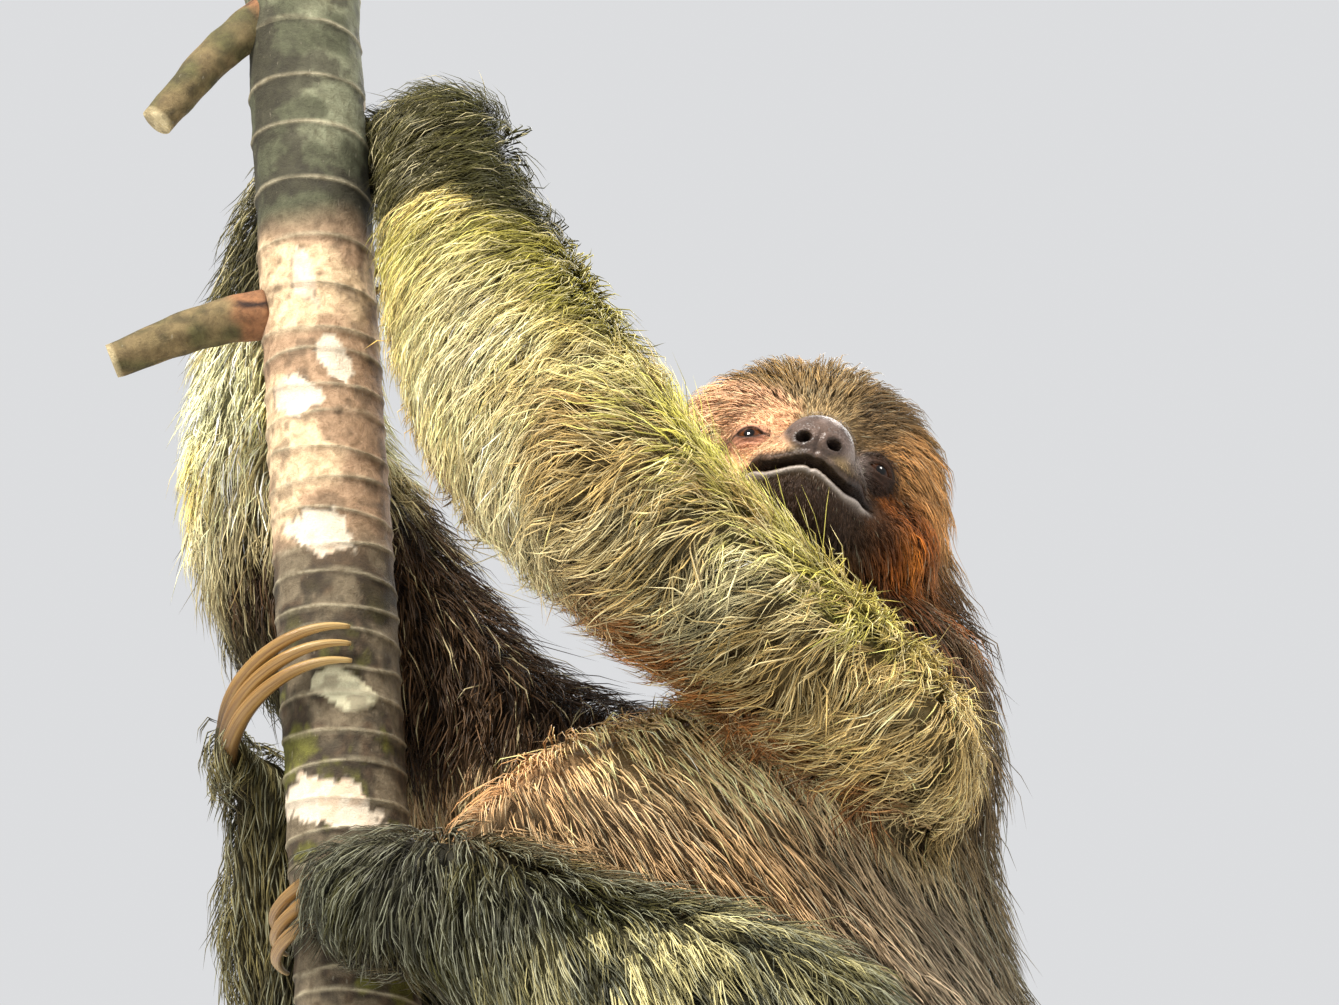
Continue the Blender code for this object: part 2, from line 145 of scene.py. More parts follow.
# Stations of the other parts to the tips of the coat, in millimetres: x, y, z and radius.
STATIONS = {
    "neck": ((62, 12, 400, 52), (64, 19, 445, 47), (58, 20, 485, 44)),
    "tail": ((94, 18, 176, 26), (118, 24, 158, 23), (131, 27, 146, 15)),
    "arm_left": (
        (70, -32, 396, 32), (66, -52, 402, 31), (25, -74, 430, 34), (-13, -86, 462, 37), (-38, -71, 498, 41),
        (-57, -47, 546, 37), (-70.5, -24, 594, 29), (-72.8, -11, 620.5, 26.2), (-87, 10, 633, 20),
        (-99, 23, 628, 16),
    ),
    "arm_right": (
        (6, 40, 402, 40), (-34, 52, 411, 41), (-78, 60, 443, 42), (-120, 62, 497, 46), (-136, 58, 545, 38),
        (-133, 54, 592, 32), (-131, 48, 634, 22), (-121, 36, 600, 14),
    ),
    "leg_left": (
        (66, -26, 215, 52), (56, -66, 245, 48), (36, -98, 286, 41), (-16, -82, 313, 35), (-62, -58, 342, 29),
        (-88, -44, 350, 23.5),
    ),
    "leg_right": (
        (34, 36, 240, 52), (8, 70, 290, 47), (-26, 86, 340, 38), (-80, 70, 340, 31), (-126, 44, 345, 24),
        (-133, 20, 405, 15),
    ),
}
LEGS = ("leg_left", "leg_right")
LIMBS = ("arm_left", "arm_right", *LEGS)

CLAW_COUNT = 3
CLAW_DEPTH = 1.3
CLAW_TAPER = 0.7
CLAW_GAP = 0.0004  # between a claw and the bark
CLAW_HUG = {"foot_left": 0.3}  # how soon a foot's claws close on the bark; 0.8 elsewhere
# Angles round the trunk at root and tip; then, in millimetres, first and last reach over the bark, height of
# the first claw, rise along a claw, drop from claw to claw, and half width at the root.
CLAWS = {
    "hand_left": (40, 146, 6.2, 3.2, 643, 0, 6.8, 2.2),
    "hand_right": (100, 30, 11, 3.2, 602, -6, 6.8, 2.2),
    "foot_left": (262, 158, 12, 3.2, 364, -12, 6.2, 2.2),
    "foot_right": (170, 283, 18.5, 3.2, 418, 28, 5.8, 2.6),
}

HEAD_CENTRE = mm(44.3, 3, 499)
HEAD_YAW = math.radians(6.4)
HEAD_PITCH = math.radians(12)
HEAD_ROLL = math.radians(16)
EYE_PLACE = mm(20.3, -25.8, -0.4)
EYE_RADIUS = 0.006

# How far the skin lies inside the coat's outer form.
DEPTH = {"torso": 0.013, "neck": 0.013, "tail": 0.009}
LIMB_DEPTH = 0.011
HAND_DEPTH = 0.006  # at the end of a limb

# The hair of each part: length, how far it stands over the skin, disorder, how far it gathers into locks,
# width, roots per square centimetre, and how firmly it is held down to the body.
COAT_KEYS = ("length", "height", "disorder", "gather", "width", "roots", "hold")
COATS = {
    "torso": (0.03, 0.0115, 0.12, 0.34, 0.00058, 22, 0.88),
    "neck": (0.032, 0.012, 0.18, 0.5, 0.0007, 22, 0.8),
    "tail": (0.024, 0.0085, 0.16, 0.5, 0.0007, 26, 0.8),
    "arm_left": (0.025, 0.0105, 0.3, 0.22, 0.00052, 62, 0.62),
    "arm_right": (0.027, 0.0105, 0.26, 0.3, 0.00066, 31, 0.62),
    "leg_left": (0.026, 0.0105, 0.18, 0.36, 0.00054, 48, 0.68),
    "leg_right": (0.026, 0.0105, 0.18, 0.4, 0.00066, 27, 0.68),
    "head": (0.02, 0.009, 0.12, 0.4, 0.00041, 86, 0.84),
}
PARTS = tuple(COATS)


# --- Distances to the parts


def trunk_x(z):
    return TRUNK_X_AT_GRIP + TRUNK_LEAN * (z - GRIP_HEIGHT)


def inset_path(name):
    """A limb's, neck's or tail's path at the skin."""
    path = catmull_rom(mm(*STATIONS[name]), 4)
    end = ramp(0.7, 1.0, np.linspace(0, 1, len(path)))
    path[:, 3] -= DEPTH.get(name) or lerp(LIMB_DEPTH, HAND_DEPTH, end)
    return path


PATHS = {name: inset_path(name) for name in STATIONS}


def near_path(points, path):
    """For each point: distance beyond the path's skin, place along it from 0 to 1, and its axis there."""
    best = np.full(len(points), np.inf)
    along = np.zeros(len(points))
    axis = np.zeros((len(points), 3))
    spans = len(path) - 1
    for i, (a, b) in enumerate(zip(path, path[1:])):
        ab = b[:3] - a[:3]
        t = np.clip(dot(points - a[:3], ab) / dot(ab, ab), 0, 1)
        beyond = np.linalg.norm(points - (a[:3] + t[:, None] * ab), axis=1) - lerp(a[3], b[3], t)
        closer = beyond < best
        best = np.where(closer, beyond, best)
        along = np.where(closer, (i + t) / spans, along)
        axis[closer] = unit(ab)
    return best, along, axis


def torso_field(points):
    """Distance beyond the torso's skin, roughly, and the place in a section: back-belly and left-right."""
    heights = SECTIONS[:, 0]
    z = np.clip(points[:, 2], heights[0], heights[-1])
    x, y, deep, wide = (np.interp(z, heights, column) for column in SECTIONS.T[1:])
    deep = np.maximum(deep - DEPTH["torso"], 0.01)
    wide = np.maximum(wide - DEPTH["torso"], 0.01)
    off = points - np.stack([x, y, z], axis=1)
    back = dot(off, BACK_WAY) / deep
    side = dot(off, WIDE_WAY) / wide
    ratio = np.sqrt(back**2 + side**2)
    beyond = (ratio - 1) * np.minimum(deep, wide) + np.abs(points[:, 2] - z)
    return beyond, back, side


# --- The head, in its own frame: +X to the sloth's left, -Y forward, +Z up


def head_matrix():
    turn = Matrix.Rotation(HEAD_YAW, 4, "Z") @ Matrix.Rotation(-HEAD_PITCH, 4, "X")
    return Matrix.Translation(HEAD_CENTRE) @ turn @ Matrix.Rotation(HEAD_ROLL, 4, "Y")


HEAD = np.array(head_matrix())


def to_head(points):
    return (points - HEAD[:3, 3]) @ HEAD[:3, :3]


def from_head(points):
    return points @ HEAD[:3, :3].T + HEAD[:3, 3]


def ellipsoid(q, centre, sizes):
    off = (q - np.array(centre)) / np.array(sizes)
    k0 = np.linalg.norm(off, axis=1)
    k1 = np.linalg.norm(off / np.array(sizes), axis=1)
    return k0 * (k0 - 1) / np.maximum(k1, 1e-9)


def blend_min(a, b, k):
    h = np.maximum(k - np.abs(a - b), 0) / k
    return np.minimum(a, b) - h * h * k / 4


# The head's forms: centre and half sizes, and how softly each runs into those before it.
HEAD_FORMS = {
    "cranium": (mm(-0.8, 9, 8.8), mm(43, 38, 41.7), 0.01),
    "face": (mm(1.8, -4.5, -12.5), mm(40, 28.5, 29), 0.01),
    "brow": (mm(0, -19.5, 10), mm(30, 13.5, 12), 0.008),
    "muzzle": (mm(0, -33.5, -16.5), mm(18, 20, 13.5), 0.012),
    "lip_right": (mm(-6.5, -40.5, -17), mm(9.2, 11.2, 6.6), 0.006),
    "lip_left": (mm(6.5, -40.5, -17), mm(9.2, 11.2, 6.6), 0.006),
    "bridge": (mm(1, -37, -5), mm(10, 15, 8.5), 0.007),
    "nose": (mm(1, -49.2, -9.6), mm(11, 8.6, 9.2), 0.005),
    "jaw": (mm(0.4, -30.5, -27), mm(15.5, 19.5, 9.8), 0.005),
}
LID_RADIUS = EYE_RADIUS + 0.001
LID_LENGTH, LID_HEIGHT = 0.0047, 0.0019  # half sizes of the gap between the lids
EYE_TURN = math.radians(20)  # each eye looks this much outward
EYE_TILT = math.radians(-8)  # the outer corner is lower
NOSE_MIDDLE = 0.0007
NOSTRIL = mm(4.9, -56.6, -13.1)
MOUTH_HALF = 0.024


def mouth_height(x):
    """The height of the slit between the lips."""
    x = np.abs(x)
    return -0.0202 - 0.002 * ramp(0.001, 0.011, x) + 0.008 * ramp(0.012, 0.026, x)


def eye_axes(side):
    """An eye's ways across and forward."""
    turn = side * EYE_TURN
    across = np.array([math.cos(turn), math.sin(turn), 0.0])
    return across, np.array([math.sin(turn), -math.cos(turn), 0.0])


def eye_frame(q, side):
    """Place relative to an eye: along its slit, up across it, forward, and how far away."""
    off = q - EYE_PLACE * (side, 1, 1)
    across, forward = eye_axes(side)
    tilt = side * EYE_TILT
    slit = across * math.cos(tilt) + UP * math.sin(tilt)
    rise = UP * math.cos(tilt) - across * math.sin(tilt)
    return off @ slit, off @ rise, off @ forward, np.linalg.norm(off, axis=1)


def lid_folds(rise):
    """Waves of skin above and below the lids."""
    return np.cos((np.abs(rise) - 0.0042) / 0.0016 * 2 * math.pi)


def from_nostril(q, side):
    return q - NOSTRIL * (side, 1, 1) - (NOSE_MIDDLE, 0, 0)


def with_eyes(d, q):
    """Sockets that sink a little, lids with folds and rims over the eyes, and the gaps between the lids."""
    for side in SIDES:
        along, rise, ahead, far = eye_frame(q, side)
        high = np.abs(rise)
        d = d + 0.0012 * bell(far, 0.0125, 0.0045) * (ahead > -0.004)
        d = blend_min(d, far - LID_RADIUS, 0.0035)
        near_lid = bell(high, 0.005, 0.0022) * bell(along, 0, 0.0085) * (ahead > 0)
        d = d - 0.00022 * lid_folds(rise) * near_lid
        gap = LID_HEIGHT * (1 - (along / LID_LENGTH) ** 2) * np.where(rise > 0, 1.1, 0.9)
        rim = bell(high - np.maximum(gap, 0), 0.0007, 0.0006) * (np.abs(along) < 0.0065) * (ahead > 0)
        d = d - 0.00025 * rim
        hole = np.maximum(high - gap, EYE_RADIUS - 0.0008 - far)
        d = np.maximum(d, -np.maximum(hole, -ahead))
    return d


def with_nostrils(d, q):
    """A groove down the middle of the nose, and the nostrils' rims and holes."""
    x, y, z = q.T
    front = ramp(-0.046, -0.052, y)
    d = d + 0.0006 * bell(x, NOSE_MIDDLE, 0.0009) * front * ramp(-0.0095, -0.0115, z)
    for side in SIDES:
        off = from_nostril(q, side)
        far = np.sqrt((off[:, 0] / 1.15) ** 2 + (off[:, 2] / 0.9) ** 2)
        d = d - 0.0003 * bell(far, 0.0031, 0.001) * front
        off[:, 0] -= side * 0.25 * off[:, 1]
        d = np.maximum(d, -ellipsoid(off, (0, 0, 0), (0.0023, 0.0065, 0.0018)))
    return d


def with_lips(d, q):
    """A lower rim that stands out, a softer upper one, and the dark slit."""
    x, y, z = q.T
    over = z - mouth_height(x)
    wide = ramp(MOUTH_HALF + 0.002, MOUTH_HALF - 0.006, np.abs(x)) * ramp(-0.021, -0.027, y)
    d = d - 0.0011 * bell(over, -0.0026, 0.0013) * wide
    d = d - 0.0006 * bell(over, 0.0018, 0.0014) * wide
    half = 0.0012 * np.clip(1 - (x / MOUTH_HALF) ** 2, 0, 1) ** 0.5 + 0.0001
    slit = np.maximum(np.abs(over) - half, -0.0045 - d)
    slit = np.maximum(slit, y + 0.023)
    slit = np.maximum(slit, np.abs(x) - MOUTH_HALF)
    return np.maximum(d, -slit)


def head_field(q):
    """Distance beyond the head's skin, with its lids, nostrils and lips."""
    d = np.full(len(q), np.inf)
    for centre, sizes, softness in HEAD_FORMS.values():
        d = blend_min(d, ellipsoid(q, centre, sizes), softness)
    return with_lips(with_nostrils(with_eyes(d, q), q), q)


def part_fields(points):
    """Distance beyond each part's skin, in the order of PARTS, and the place on each part."""
    torso, *places_on_torso = torso_field(points)
    beyond = [torso]
    places = {"torso": places_on_torso}
    for name, path in PATHS.items():
        d, *places[name] = near_path(points, path)
        beyond.append(d)
    q = places["head"] = to_head(points)
    forms = (HEAD_FORMS[form] for form in ("cranium", "face", "muzzle", "jaw"))
    beyond.append(np.min([ellipsoid(q, centre, sizes) for centre, sizes, _ in forms], axis=0))
    return np.array(beyond), places


def part_shares(beyond, softness):
    share = np.exp(-(beyond - beyond.min(axis=0)) / softness)
    return share / share.sum(axis=0)


def blend_parts(ways, points, normals, softness):
    """What each part's function gives at the points, blended where parts meet."""
    beyond, places = part_fields(points)
    share = part_shares(beyond, softness)
    total = np.zeros((len(points), 3))
    for k, name in enumerate(PARTS):
        total += share[k][:, None] * ways[name](points, normals, places)
    return total


# --- Colours: the same functions paint skin and hair

OLIVE_DARK = srgb(64, 63, 30)
OLIVE = srgb(150, 142, 66)
ALGAE = srgb(184, 176, 84)
STRAW = srgb(222, 200, 120)
CREAM = srgb(238, 224, 174)
TAN = srgb(186, 152, 108)
TAN_OLIVE = srgb(170, 144, 92)
GREY_TAN = srgb(160, 144, 120)
GREY_BROWN = srgb(112, 98, 72)
ORANGE = srgb(220, 136, 46)
RUST = srgb(168, 90, 28)
DARK_BROWN = srgb(62, 42, 26)
SHADOW_BROWN = srgb(92, 66, 44)
GREY_GREEN = srgb(68, 68, 50)
PALE_TIP = srgb(190, 192, 164)
FOOT_BROWN = srgb(108, 98, 60)
TAUPE = srgb(140, 112, 74)
CROWN = srgb(130, 102, 58)
PEACH = srgb(240, 188, 146)
WARM_TAN = srgb(208, 154, 94)
NOSE_SKIN = srgb(92, 76, 68)
NOSE_PALE = srgb(142, 130, 124)
LIP_SKIN = srgb(176, 166, 158)
SLIT_AND_NOSTRIL_SHADE = srgb(16, 10, 9)
LID_SKIN = srgb(168, 108, 88)
CHIN = srgb(62, 46, 36)
EYE_MASK = srgb(13, 9, 7)
FOREHEAD_PALE = srgb(176, 154, 112)
BELLY_PALE = srgb(246, 216, 172)
BELLY_LIT = srgb(255, 218, 156)
# dark brown of the painted shade on the far upper arm
FAR_ARM_SHADE = srgb(70, 51, 32)


def torso_colour(points, normals, places):
    back, _ = places["torso"]
    z = points[:, 2]
    patch = patches(points, 0.018, 3)
    paint = Paint(points, TAN)
    paint.lay(GREY_TAN, ramp(-0.45, 0.35, back + 0.4 * patch))
    paint.lay(SHADOW_BROWN, 0.35 * ramp(0.0, 0.35, patches(points, 0.006, 4) + 0.4 * patch))
    paint.lay(GREY_BROWN, ramp(0.4, 0.8, back + 0.3 * patch))
    paint.lay(OLIVE_DARK, 0.5 * ramp(0.75, 1.0, back))
    # pale on the top of the belly, partly its own pale hair and partly painted sunlight; orange beside the
    # trunk; dark towards the throat
    high = ramp(0.372, 0.392, z + 0.02 * patch)
    paint.lay(BELLY_PALE, 0.92 * high * ramp(0.35, -0.15, back + 0.5 * patch))
    paint.lay(ORANGE, 0.6 * high * ramp(-0.75, -0.95, back))
    # a painted pool of sunlight on the belly just under the near arm
    lit = np.linalg.norm((points - (-0.004, -0.052, 0.402)) / (0.03, 0.04, 0.02), axis=1)
    paint.lay(BELLY_LIT, 1.4 * bell(lit, 0, 1))
    # dark towards the throat: partly the chest's own dark brown and partly painted shade under the arm
    paint.lay(DARK_BROWN, 0.9 * ramp(0.423, 0.431, z) * ramp(0.6, 0.1, back))
    paint.lay(GREY_GREEN, 0.35 * ramp(0.24, 0.17, z))
    return paint.colour


def neck_colour(points, normals, places):
    forward = normals[:, 1]
    paint = Paint(points, GREY_BROWN)
    paint.lay(DARK_BROWN, 0.75 * ramp(0.2, -0.6, forward + 0.5 * patches(points, 0.015, 5)))
    streak = ramp(0.58, 0.8, noise(points, 0.011, 8)) * ramp(-0.2, -0.7, forward)
    paint.lay(RUST, 0.55 * streak * ramp(0.43, 0.46, points[:, 2]))
    return paint.colour


def paint_head_hair(paint, points, q):
    """Pale forehead, brown crown, warm tan side, rusty cheek on the left and a peach face on the right, the
    peach partly painted sunlight; painted shade over the left brow, round the left eye and beside the muzzle.
    """
    x, y, z = q.T
    patch = patches(points, 0.012, 11)
    fine = patches(points, 0.004, 12)
    front = ramp(0.03, 0.0, y)
    paint.lay(FOREHEAD_PALE, 0.6 * ramp(0.02, 0.006, np.abs(x)))
    crown = ramp(0.016, 0.034, z + 0.012 * patch + 0.25 * (y + 0.02) + 0.006 * (x > 0))
    paint.lay(CROWN, crown * (1 - 0.45 * bell(x, 0.002, 0.009)))
    paint.lay(GREY_BROWN, 1 - front)
    # painted shade in brown over the left brow, then warm tan down the side, with a rusty cheek under it
    side_line = x - 0.35 * (z - 0.01) + 0.006 * patch
    off_muzzle = ramp(-0.04, -0.033, y)
    paint.lay(TAUPE * 0.62, ramp(0.005, 0.012, x) * ramp(0.022, 0.014, side_line) * front * off_muzzle)
    tan = ramp(0.016, 0.023, side_line) * ramp(0.034, 0.02, z + 0.01 * patch) * front
    paint.lay(WARM_TAN, 0.92 * tan * off_muzzle)
    low = ramp(0.006, -0.01, z - 0.1 * np.abs(x) + 0.012 * patch)
    cheek = low * ramp(0.016, 0.026, np.abs(x)) * front
    # the peach cheek on the right is partly painted sunlight
    paint.lay(np.where(x[:, None] > 0, RUST, PEACH), 0.9 * cheek)
    bright = bell(x, 0.036, 0.007) * bell(z + 0.5 * (x - 0.036), -0.012, 0.01)
    paint.lay(ORANGE, 0.8 * bright * ramp(-0.25, 0.1, patch + 0.5 * fine))
    # a pale peach face on the right, partly its own colour and partly painted sunlight
    edge = z - 0.7 * np.maximum(-0.008 - x, 0) + 0.005 * patch
    pale = ramp(-0.005, -0.011, x) * ramp(0.0155, 0.0105, edge) * ramp(-0.026, -0.016, z)
    paint.lay(PEACH * 1.1, 0.95 * pale * ramp(0.012, -0.004, y))
    # dark throat with rusty streaks, darker chin
    throat = ramp(-0.022, -0.032, z + 0.01 * patch)
    paint.lay(DARK_BROWN, 0.85 * throat)
    streak = ramp(0.05, 0.25, patches(points, 0.01, 8) + 0.4 * fine) * ramp(0.014, 0.026, x)
    paint.lay(RUST, 0.75 * np.maximum(throat, cheek * (x > 0)) * streak)
    paint.lay(CHIN, bell(x, 0, 0.019) * ramp(-0.0235, -0.0265, z) * ramp(-0.026, -0.034, y))
    # a dark mask round the eye, drawn out to a stripe, the sloth's own marking; on the left it also covers
    # the whole eye and runs down as painted shade, while on the pale side it lies only outward of the eye
    for side in SIDES:
        along = side * x - EYE_PLACE[0]
        centre = z + 0.001 + 0.0015 * patch
        round_eye = np.hypot((along - 0.0004) / 0.0078, centre / 0.0088)
        low_stripe = np.abs(z + 0.01 + 0.55 * (along + 0.004)) / 0.0052
        down = ramp(1.15, 0.75, low_stripe) * ramp(-0.012, -0.004, along) * ramp(0.01, 0.0, along)
        stripe = np.abs(centre + 0.35 * along) / lerp(0.007, 0.004, ramp(0.0, 0.02, along))
        out = ramp(1.2, 0.7, stripe) * ramp(0.002, 0.008, along) * ramp(0.026, 0.012, along)
        mask = np.maximum(ramp(1.12, 0.86, round_eye), 0.85 * down) if side > 0 else out
        inward = 0.98 if side > 0 else 0.9 * ramp(0.004, 0.01, along)
        paint.lay(EYE_MASK, inward * np.maximum(mask, 0.55 * out) * ramp(0.012, 0.0, y))
    # painted shade beside the muzzle on the left
    shade = ramp(0.01, 0.015, x) * ramp(-0.008, -0.013, z) * ramp(-0.018, -0.026, y)
    paint.lay(DARK_BROWN, 0.85 * shade)


def paint_bare_skin(paint, points, q):
    """Lids, nose, lips, mouth and nostrils."""
    x, y, z = q.T
    for side in SIDES:
        along, rise, ahead, _ = eye_frame(q, side)
        lid = bell(np.hypot(along / 1.5, rise + 0.0006), 0, 0.0048, 4) * (ahead > 0)
        # the left lids are painted as dark as the mask: painted shade
        paint.lay(LID_SKIN if side < 0 else EYE_MASK, 0.9 * lid)
        # painted shade in the folds round the lids
        paint.colour *= (1 - 0.2 * lid * (1 - lid_folds(rise)))[:, None]
        edge = np.abs(rise) - LID_HEIGHT * np.clip(1 - (along / LID_LENGTH) ** 2, 0, 1)
        rim = bell(edge, 0, 0.0009) * (np.abs(along) < 0.0072) * (ahead > 0)
        paint.lay(DARK_BROWN * 0.22, rim)
    mottled = noise(points, 0.0022, 2)
    pad = Paint(points, NOSE_SKIN)
    pad.lay(NOSE_PALE, ramp(-0.009, -0.001, z + 0.003 * (mottled - 0.5) - 0.5 * np.abs(x - 0.003)))
    pad.lay(NOSE_SKIN * 0.45, ramp(-0.0125, -0.0175, z) * ramp(0.2, 0.6, mottled))
    paint.lay(pad.colour * (0.6 + 0.8 * mottled)[:, None], nose_mask(q))
    flank = bell(x, 0.0135, 0.0032) * ramp(-0.019, -0.013, z) * ramp(0.008, 0.0, z)
    paint.lay(NOSE_PALE, 0.85 * flank * ramp(-0.026, -0.034, y))
    over = z - mouth_height(x)
    lips = ramp(MOUTH_HALF + 0.001, MOUTH_HALF - 0.004, np.abs(x)) * ramp(-0.023, -0.031, y)
    upper = ramp(-0.001, 0.0005, over) * ramp(0.0056, 0.0026, over) * lips
    paint.lay(NOSE_SKIN * lerp(0.3, 1.1, mottled**2)[:, None], 0.92 * upper)
    paint.lay(CHIN, 0.85 * lips * ramp(0.0, -0.0012, over))
    paint.lay(LIP_SKIN, 0.95 * bell(over, -0.0025, 0.0007) * lips)
    # painted shade in the mouth's slit
    paint.lay(SLIT_AND_NOSTRIL_SHADE, bell(over, 0, 0.0015, 4) * lips)
    # painted shade in the nostrils
    for side in SIDES:
        off = from_nostril(q, side) - (0, 0.002, 0)
        paint.lay(SLIT_AND_NOSTRIL_SHADE, bell(np.linalg.norm(off / (1.15, 1.6, 0.9), axis=1), 0, 0.0027, 6))


def head_colour(points, normals, places):
    paint = Paint(points, TAUPE)
    paint_head_hair(paint, points, places["head"])
    paint_bare_skin(paint, points, places["head"])
    return paint.colour


def nose_mask(q):
    """1 on the bare pad of the nose and the skin just round it."""
    x, y, z = q.T
    round_pad = np.sqrt(((x - 0.0008) / 0.0118) ** 2 + ((z + 0.0094) / 0.0086) ** 2)
    return ramp(1.25, 0.88, round_pad) * ramp(-0.036, -0.044, y)


def lip_mask(q):
    """1 on the lips' wet edges."""
    x, y, z = q.T
    on_slit = ramp(0.0036, 0.002, np.abs(z - mouth_height(x)))
    return on_slit * (np.abs(x) < MOUTH_HALF) * ramp(-0.027, -0.033, y)


def arm_left_colour(points, normals, places):
    along, _ = places["arm_left"]
    patch = patches(points, 0.016, 17)
    fine = patches(points, 0.005, 18)
    up = normals[:, 2]
    outer = dot(normals, np.array([0.8, 0.1, 0.58]))  # towards the upper right
    under = dot(normals, np.array([-0.45, 0.1, -0.88]))
    paint = Paint(points, STRAW)
    paint.lay(ALGAE, ramp(-0.1, 0.3, patch + 0.6 * fine))
    paint.lay(SHADOW_BROWN, 0.35 * ramp(0.05, 0.35, fine - 0.5 * patch))
    # the upper arm: algae along its top and in wisps, cream in the middle, tan towards the shoulder
    upper = ramp(0.46, 0.38, along + 0.05 * patch)
    paint.lay(TAN_OLIVE, 0.92 * upper)
    paint.lay(CREAM * 0.9, upper * ramp(0.0, 0.26, patch + 0.35 * fine))
    paint.lay(ALGAE, upper * ramp(0.22, 0.7, up + 0.8 * patch + 0.9 * fine))
    # painted shade in dark olive on the downward side of the upper arm
    dark = bell(along, 0.27, 0.07) * ramp(0.55, -0.25, up + 0.5 * patch)
    paint.lay(OLIVE_DARK, upper * 0.7 * dark * ramp(-0.2, 0.15, fine + 0.3 * patch))
    paint.lay(lerp(TAN, STRAW, 0.4), upper * ramp(0.22, 0.08, along + 0.1 * patch) * 0.7)
    # the elbow and lower forearm are pale cream, partly the hair's own colour and partly a painted sunlit
    # highlight; the far edge is green
    paler = ramp(0.34, 0.44, along) * ramp(0.62, 0.5, along)
    paint.lay(CREAM, paler * np.clip(0.45 + 1.2 * patch + 0.8 * fine, 0, 1))
    paint.lay(OLIVE, ramp(0.4, 0.48, along) * ramp(0.3, 0.8, outer + 0.5 * patch + 0.3 * fine))
    # painted shade in brown on the underside, and pale cream where hair hangs from the elbow
    elbow = bell(along, 0.38, 0.06)
    paint.lay(lerp(SHADOW_BROWN, ORANGE, 0.25), ramp(0.55, 0.85, under + 0.25 * patch) * (1 - elbow))
    paint.lay(CREAM, 0.75 * elbow * ramp(0.1, 0.6, under + 0.4 * patch + 0.3 * fine))
    # dark wrist and hand, partly their own dark hair and partly painted shade, which reaches lower on the
    # outer side
    edge = 0.592 - 0.03 * ramp(0.2, 0.9, outer) + 0.012 * patch + 0.006 * fine
    paint.lay(OLIVE_DARK * 0.75, 0.94 * ramp(-0.005, 0.007, points[:, 2] - edge))
    return paint.colour


def arm_right_colour(points, normals, places):
    along, _ = places["arm_right"]
    z = points[:, 2]
    patch = patches(points, 0.016, 23)
    fine = patches(points, 0.005, 24)
    paint = Paint(points, STRAW)
    paint.lay(CREAM, ramp(-0.3, 0.1, patch + 0.5 * fine))
    # brightened as painted sunlight on the far forearm's cream hair
    paint.colour *= 1.3
    paint.lay(OLIVE, 0.3 * ramp(0.18, 0.38, fine - 0.3 * patch))
    # painted shade in dark brown over the far upper arm
    paint.lay(FAR_ARM_SHADE, ramp(0.55, 0.4, along + 0.1 * patch + 0.04 * fine))
    # a painted patch of sunlight in tan, orange and pale cream low on the far upper arm
    low = ramp(0.424, 0.412, z + 0.008 * patch) * ramp(0.4, 0.25, along)
    paint.lay(lerp(TAN, ORANGE, 0.35), low)
    paint.lay(BELLY_PALE, 0.85 * low * ramp(0.1, -0.3, normals[:, 1] + 0.4 * patch))
    # painted shade in dark olive on the far forearm's downward side
    under = ramp(0.2, 0.7, -normals[:, 2] + 0.4 * patch)
    paint.lay(OLIVE_DARK, 0.8 * under * ramp(0.62, 0.5, along) * (1 - low))
    # dark hand, partly its own dark hair and partly painted shade
    paint.lay(OLIVE_DARK * 0.7, 0.94 * ramp(0.579, 0.591, z + 0.01 * patch))
    return paint.colour


def leg_colour(name, points, normals, places):
    along, _ = places[name]
    patch = patches(points, 0.017, 29)
    fine = patches(points, 0.005, 30)
    paint = Paint(points, GREY_GREEN * 0.8)
    paint.lay(OLIVE_DARK * 0.75, ramp(-0.15, 0.25, patch + 0.5 * fine))
    low = ramp(0.334, 0.32, points[:, 2] + 0.012 * patch) * ramp(0.3, -0.3, normals[:, 1])
    knee = bell(along, 0.56, 0.11) * low
    paint.lay(lerp(ALGAE, CREAM, 0.6), 0.92 * knee * ramp(-0.25, 0.15, fine + 0.5 * patch))
    paint.lay(torso_colour(points, normals, places), ramp(0.24, 0.06, along + 0.15 * patch))
    if name == "leg_right":
        paint.lay(FOOT_BROWN, 0.7 * ramp(0.7, 0.9, along + 0.2 * patch))
    # painted shade in dark brown on the downward side of the lower leg and foot
    paint.lay(DARK_BROWN, 0.35 * ramp(0.3, 0.9, -normals[:, 2]) * ramp(0.6, 0.8, along))
    return paint.colour


COLOUR_OF = {
    "torso": torso_colour,
    "neck": neck_colour,
    "tail": lambda points, normals, places: GREY_BROWN,
    "arm_left": arm_left_colour,
    "arm_right": arm_right_colour,
    "head": head_colour,
    **{name: partial(leg_colour, name) for name in LEGS},
}


def markings(points, normals):
    """The animal's colour at each point."""
    return np.clip(blend_parts(COLOUR_OF, points, normals, 0.006), 0.002, 1.0)


# --- The lie of the hair


def torso_lie(points, normals, places):
    """Hair parts along the middle of the belly and runs round to the back and down."""
    back, side = (place[:, None] for place in places["torso"])
    away = np.sign(side + 1e-6) * WIDE_WAY
    level = away - normals * dot(away, normals)[:, None] + 0.9 * BACK_WAY * ramp(1.0, 0.2, np.abs(back))
    turned = lerp(0.55, 0.1, ramp(0.5, 1.0, back))
    return unit(level) * turned - UP * lerp(0.62, 1.0, ramp(0.2, 0.9, back))


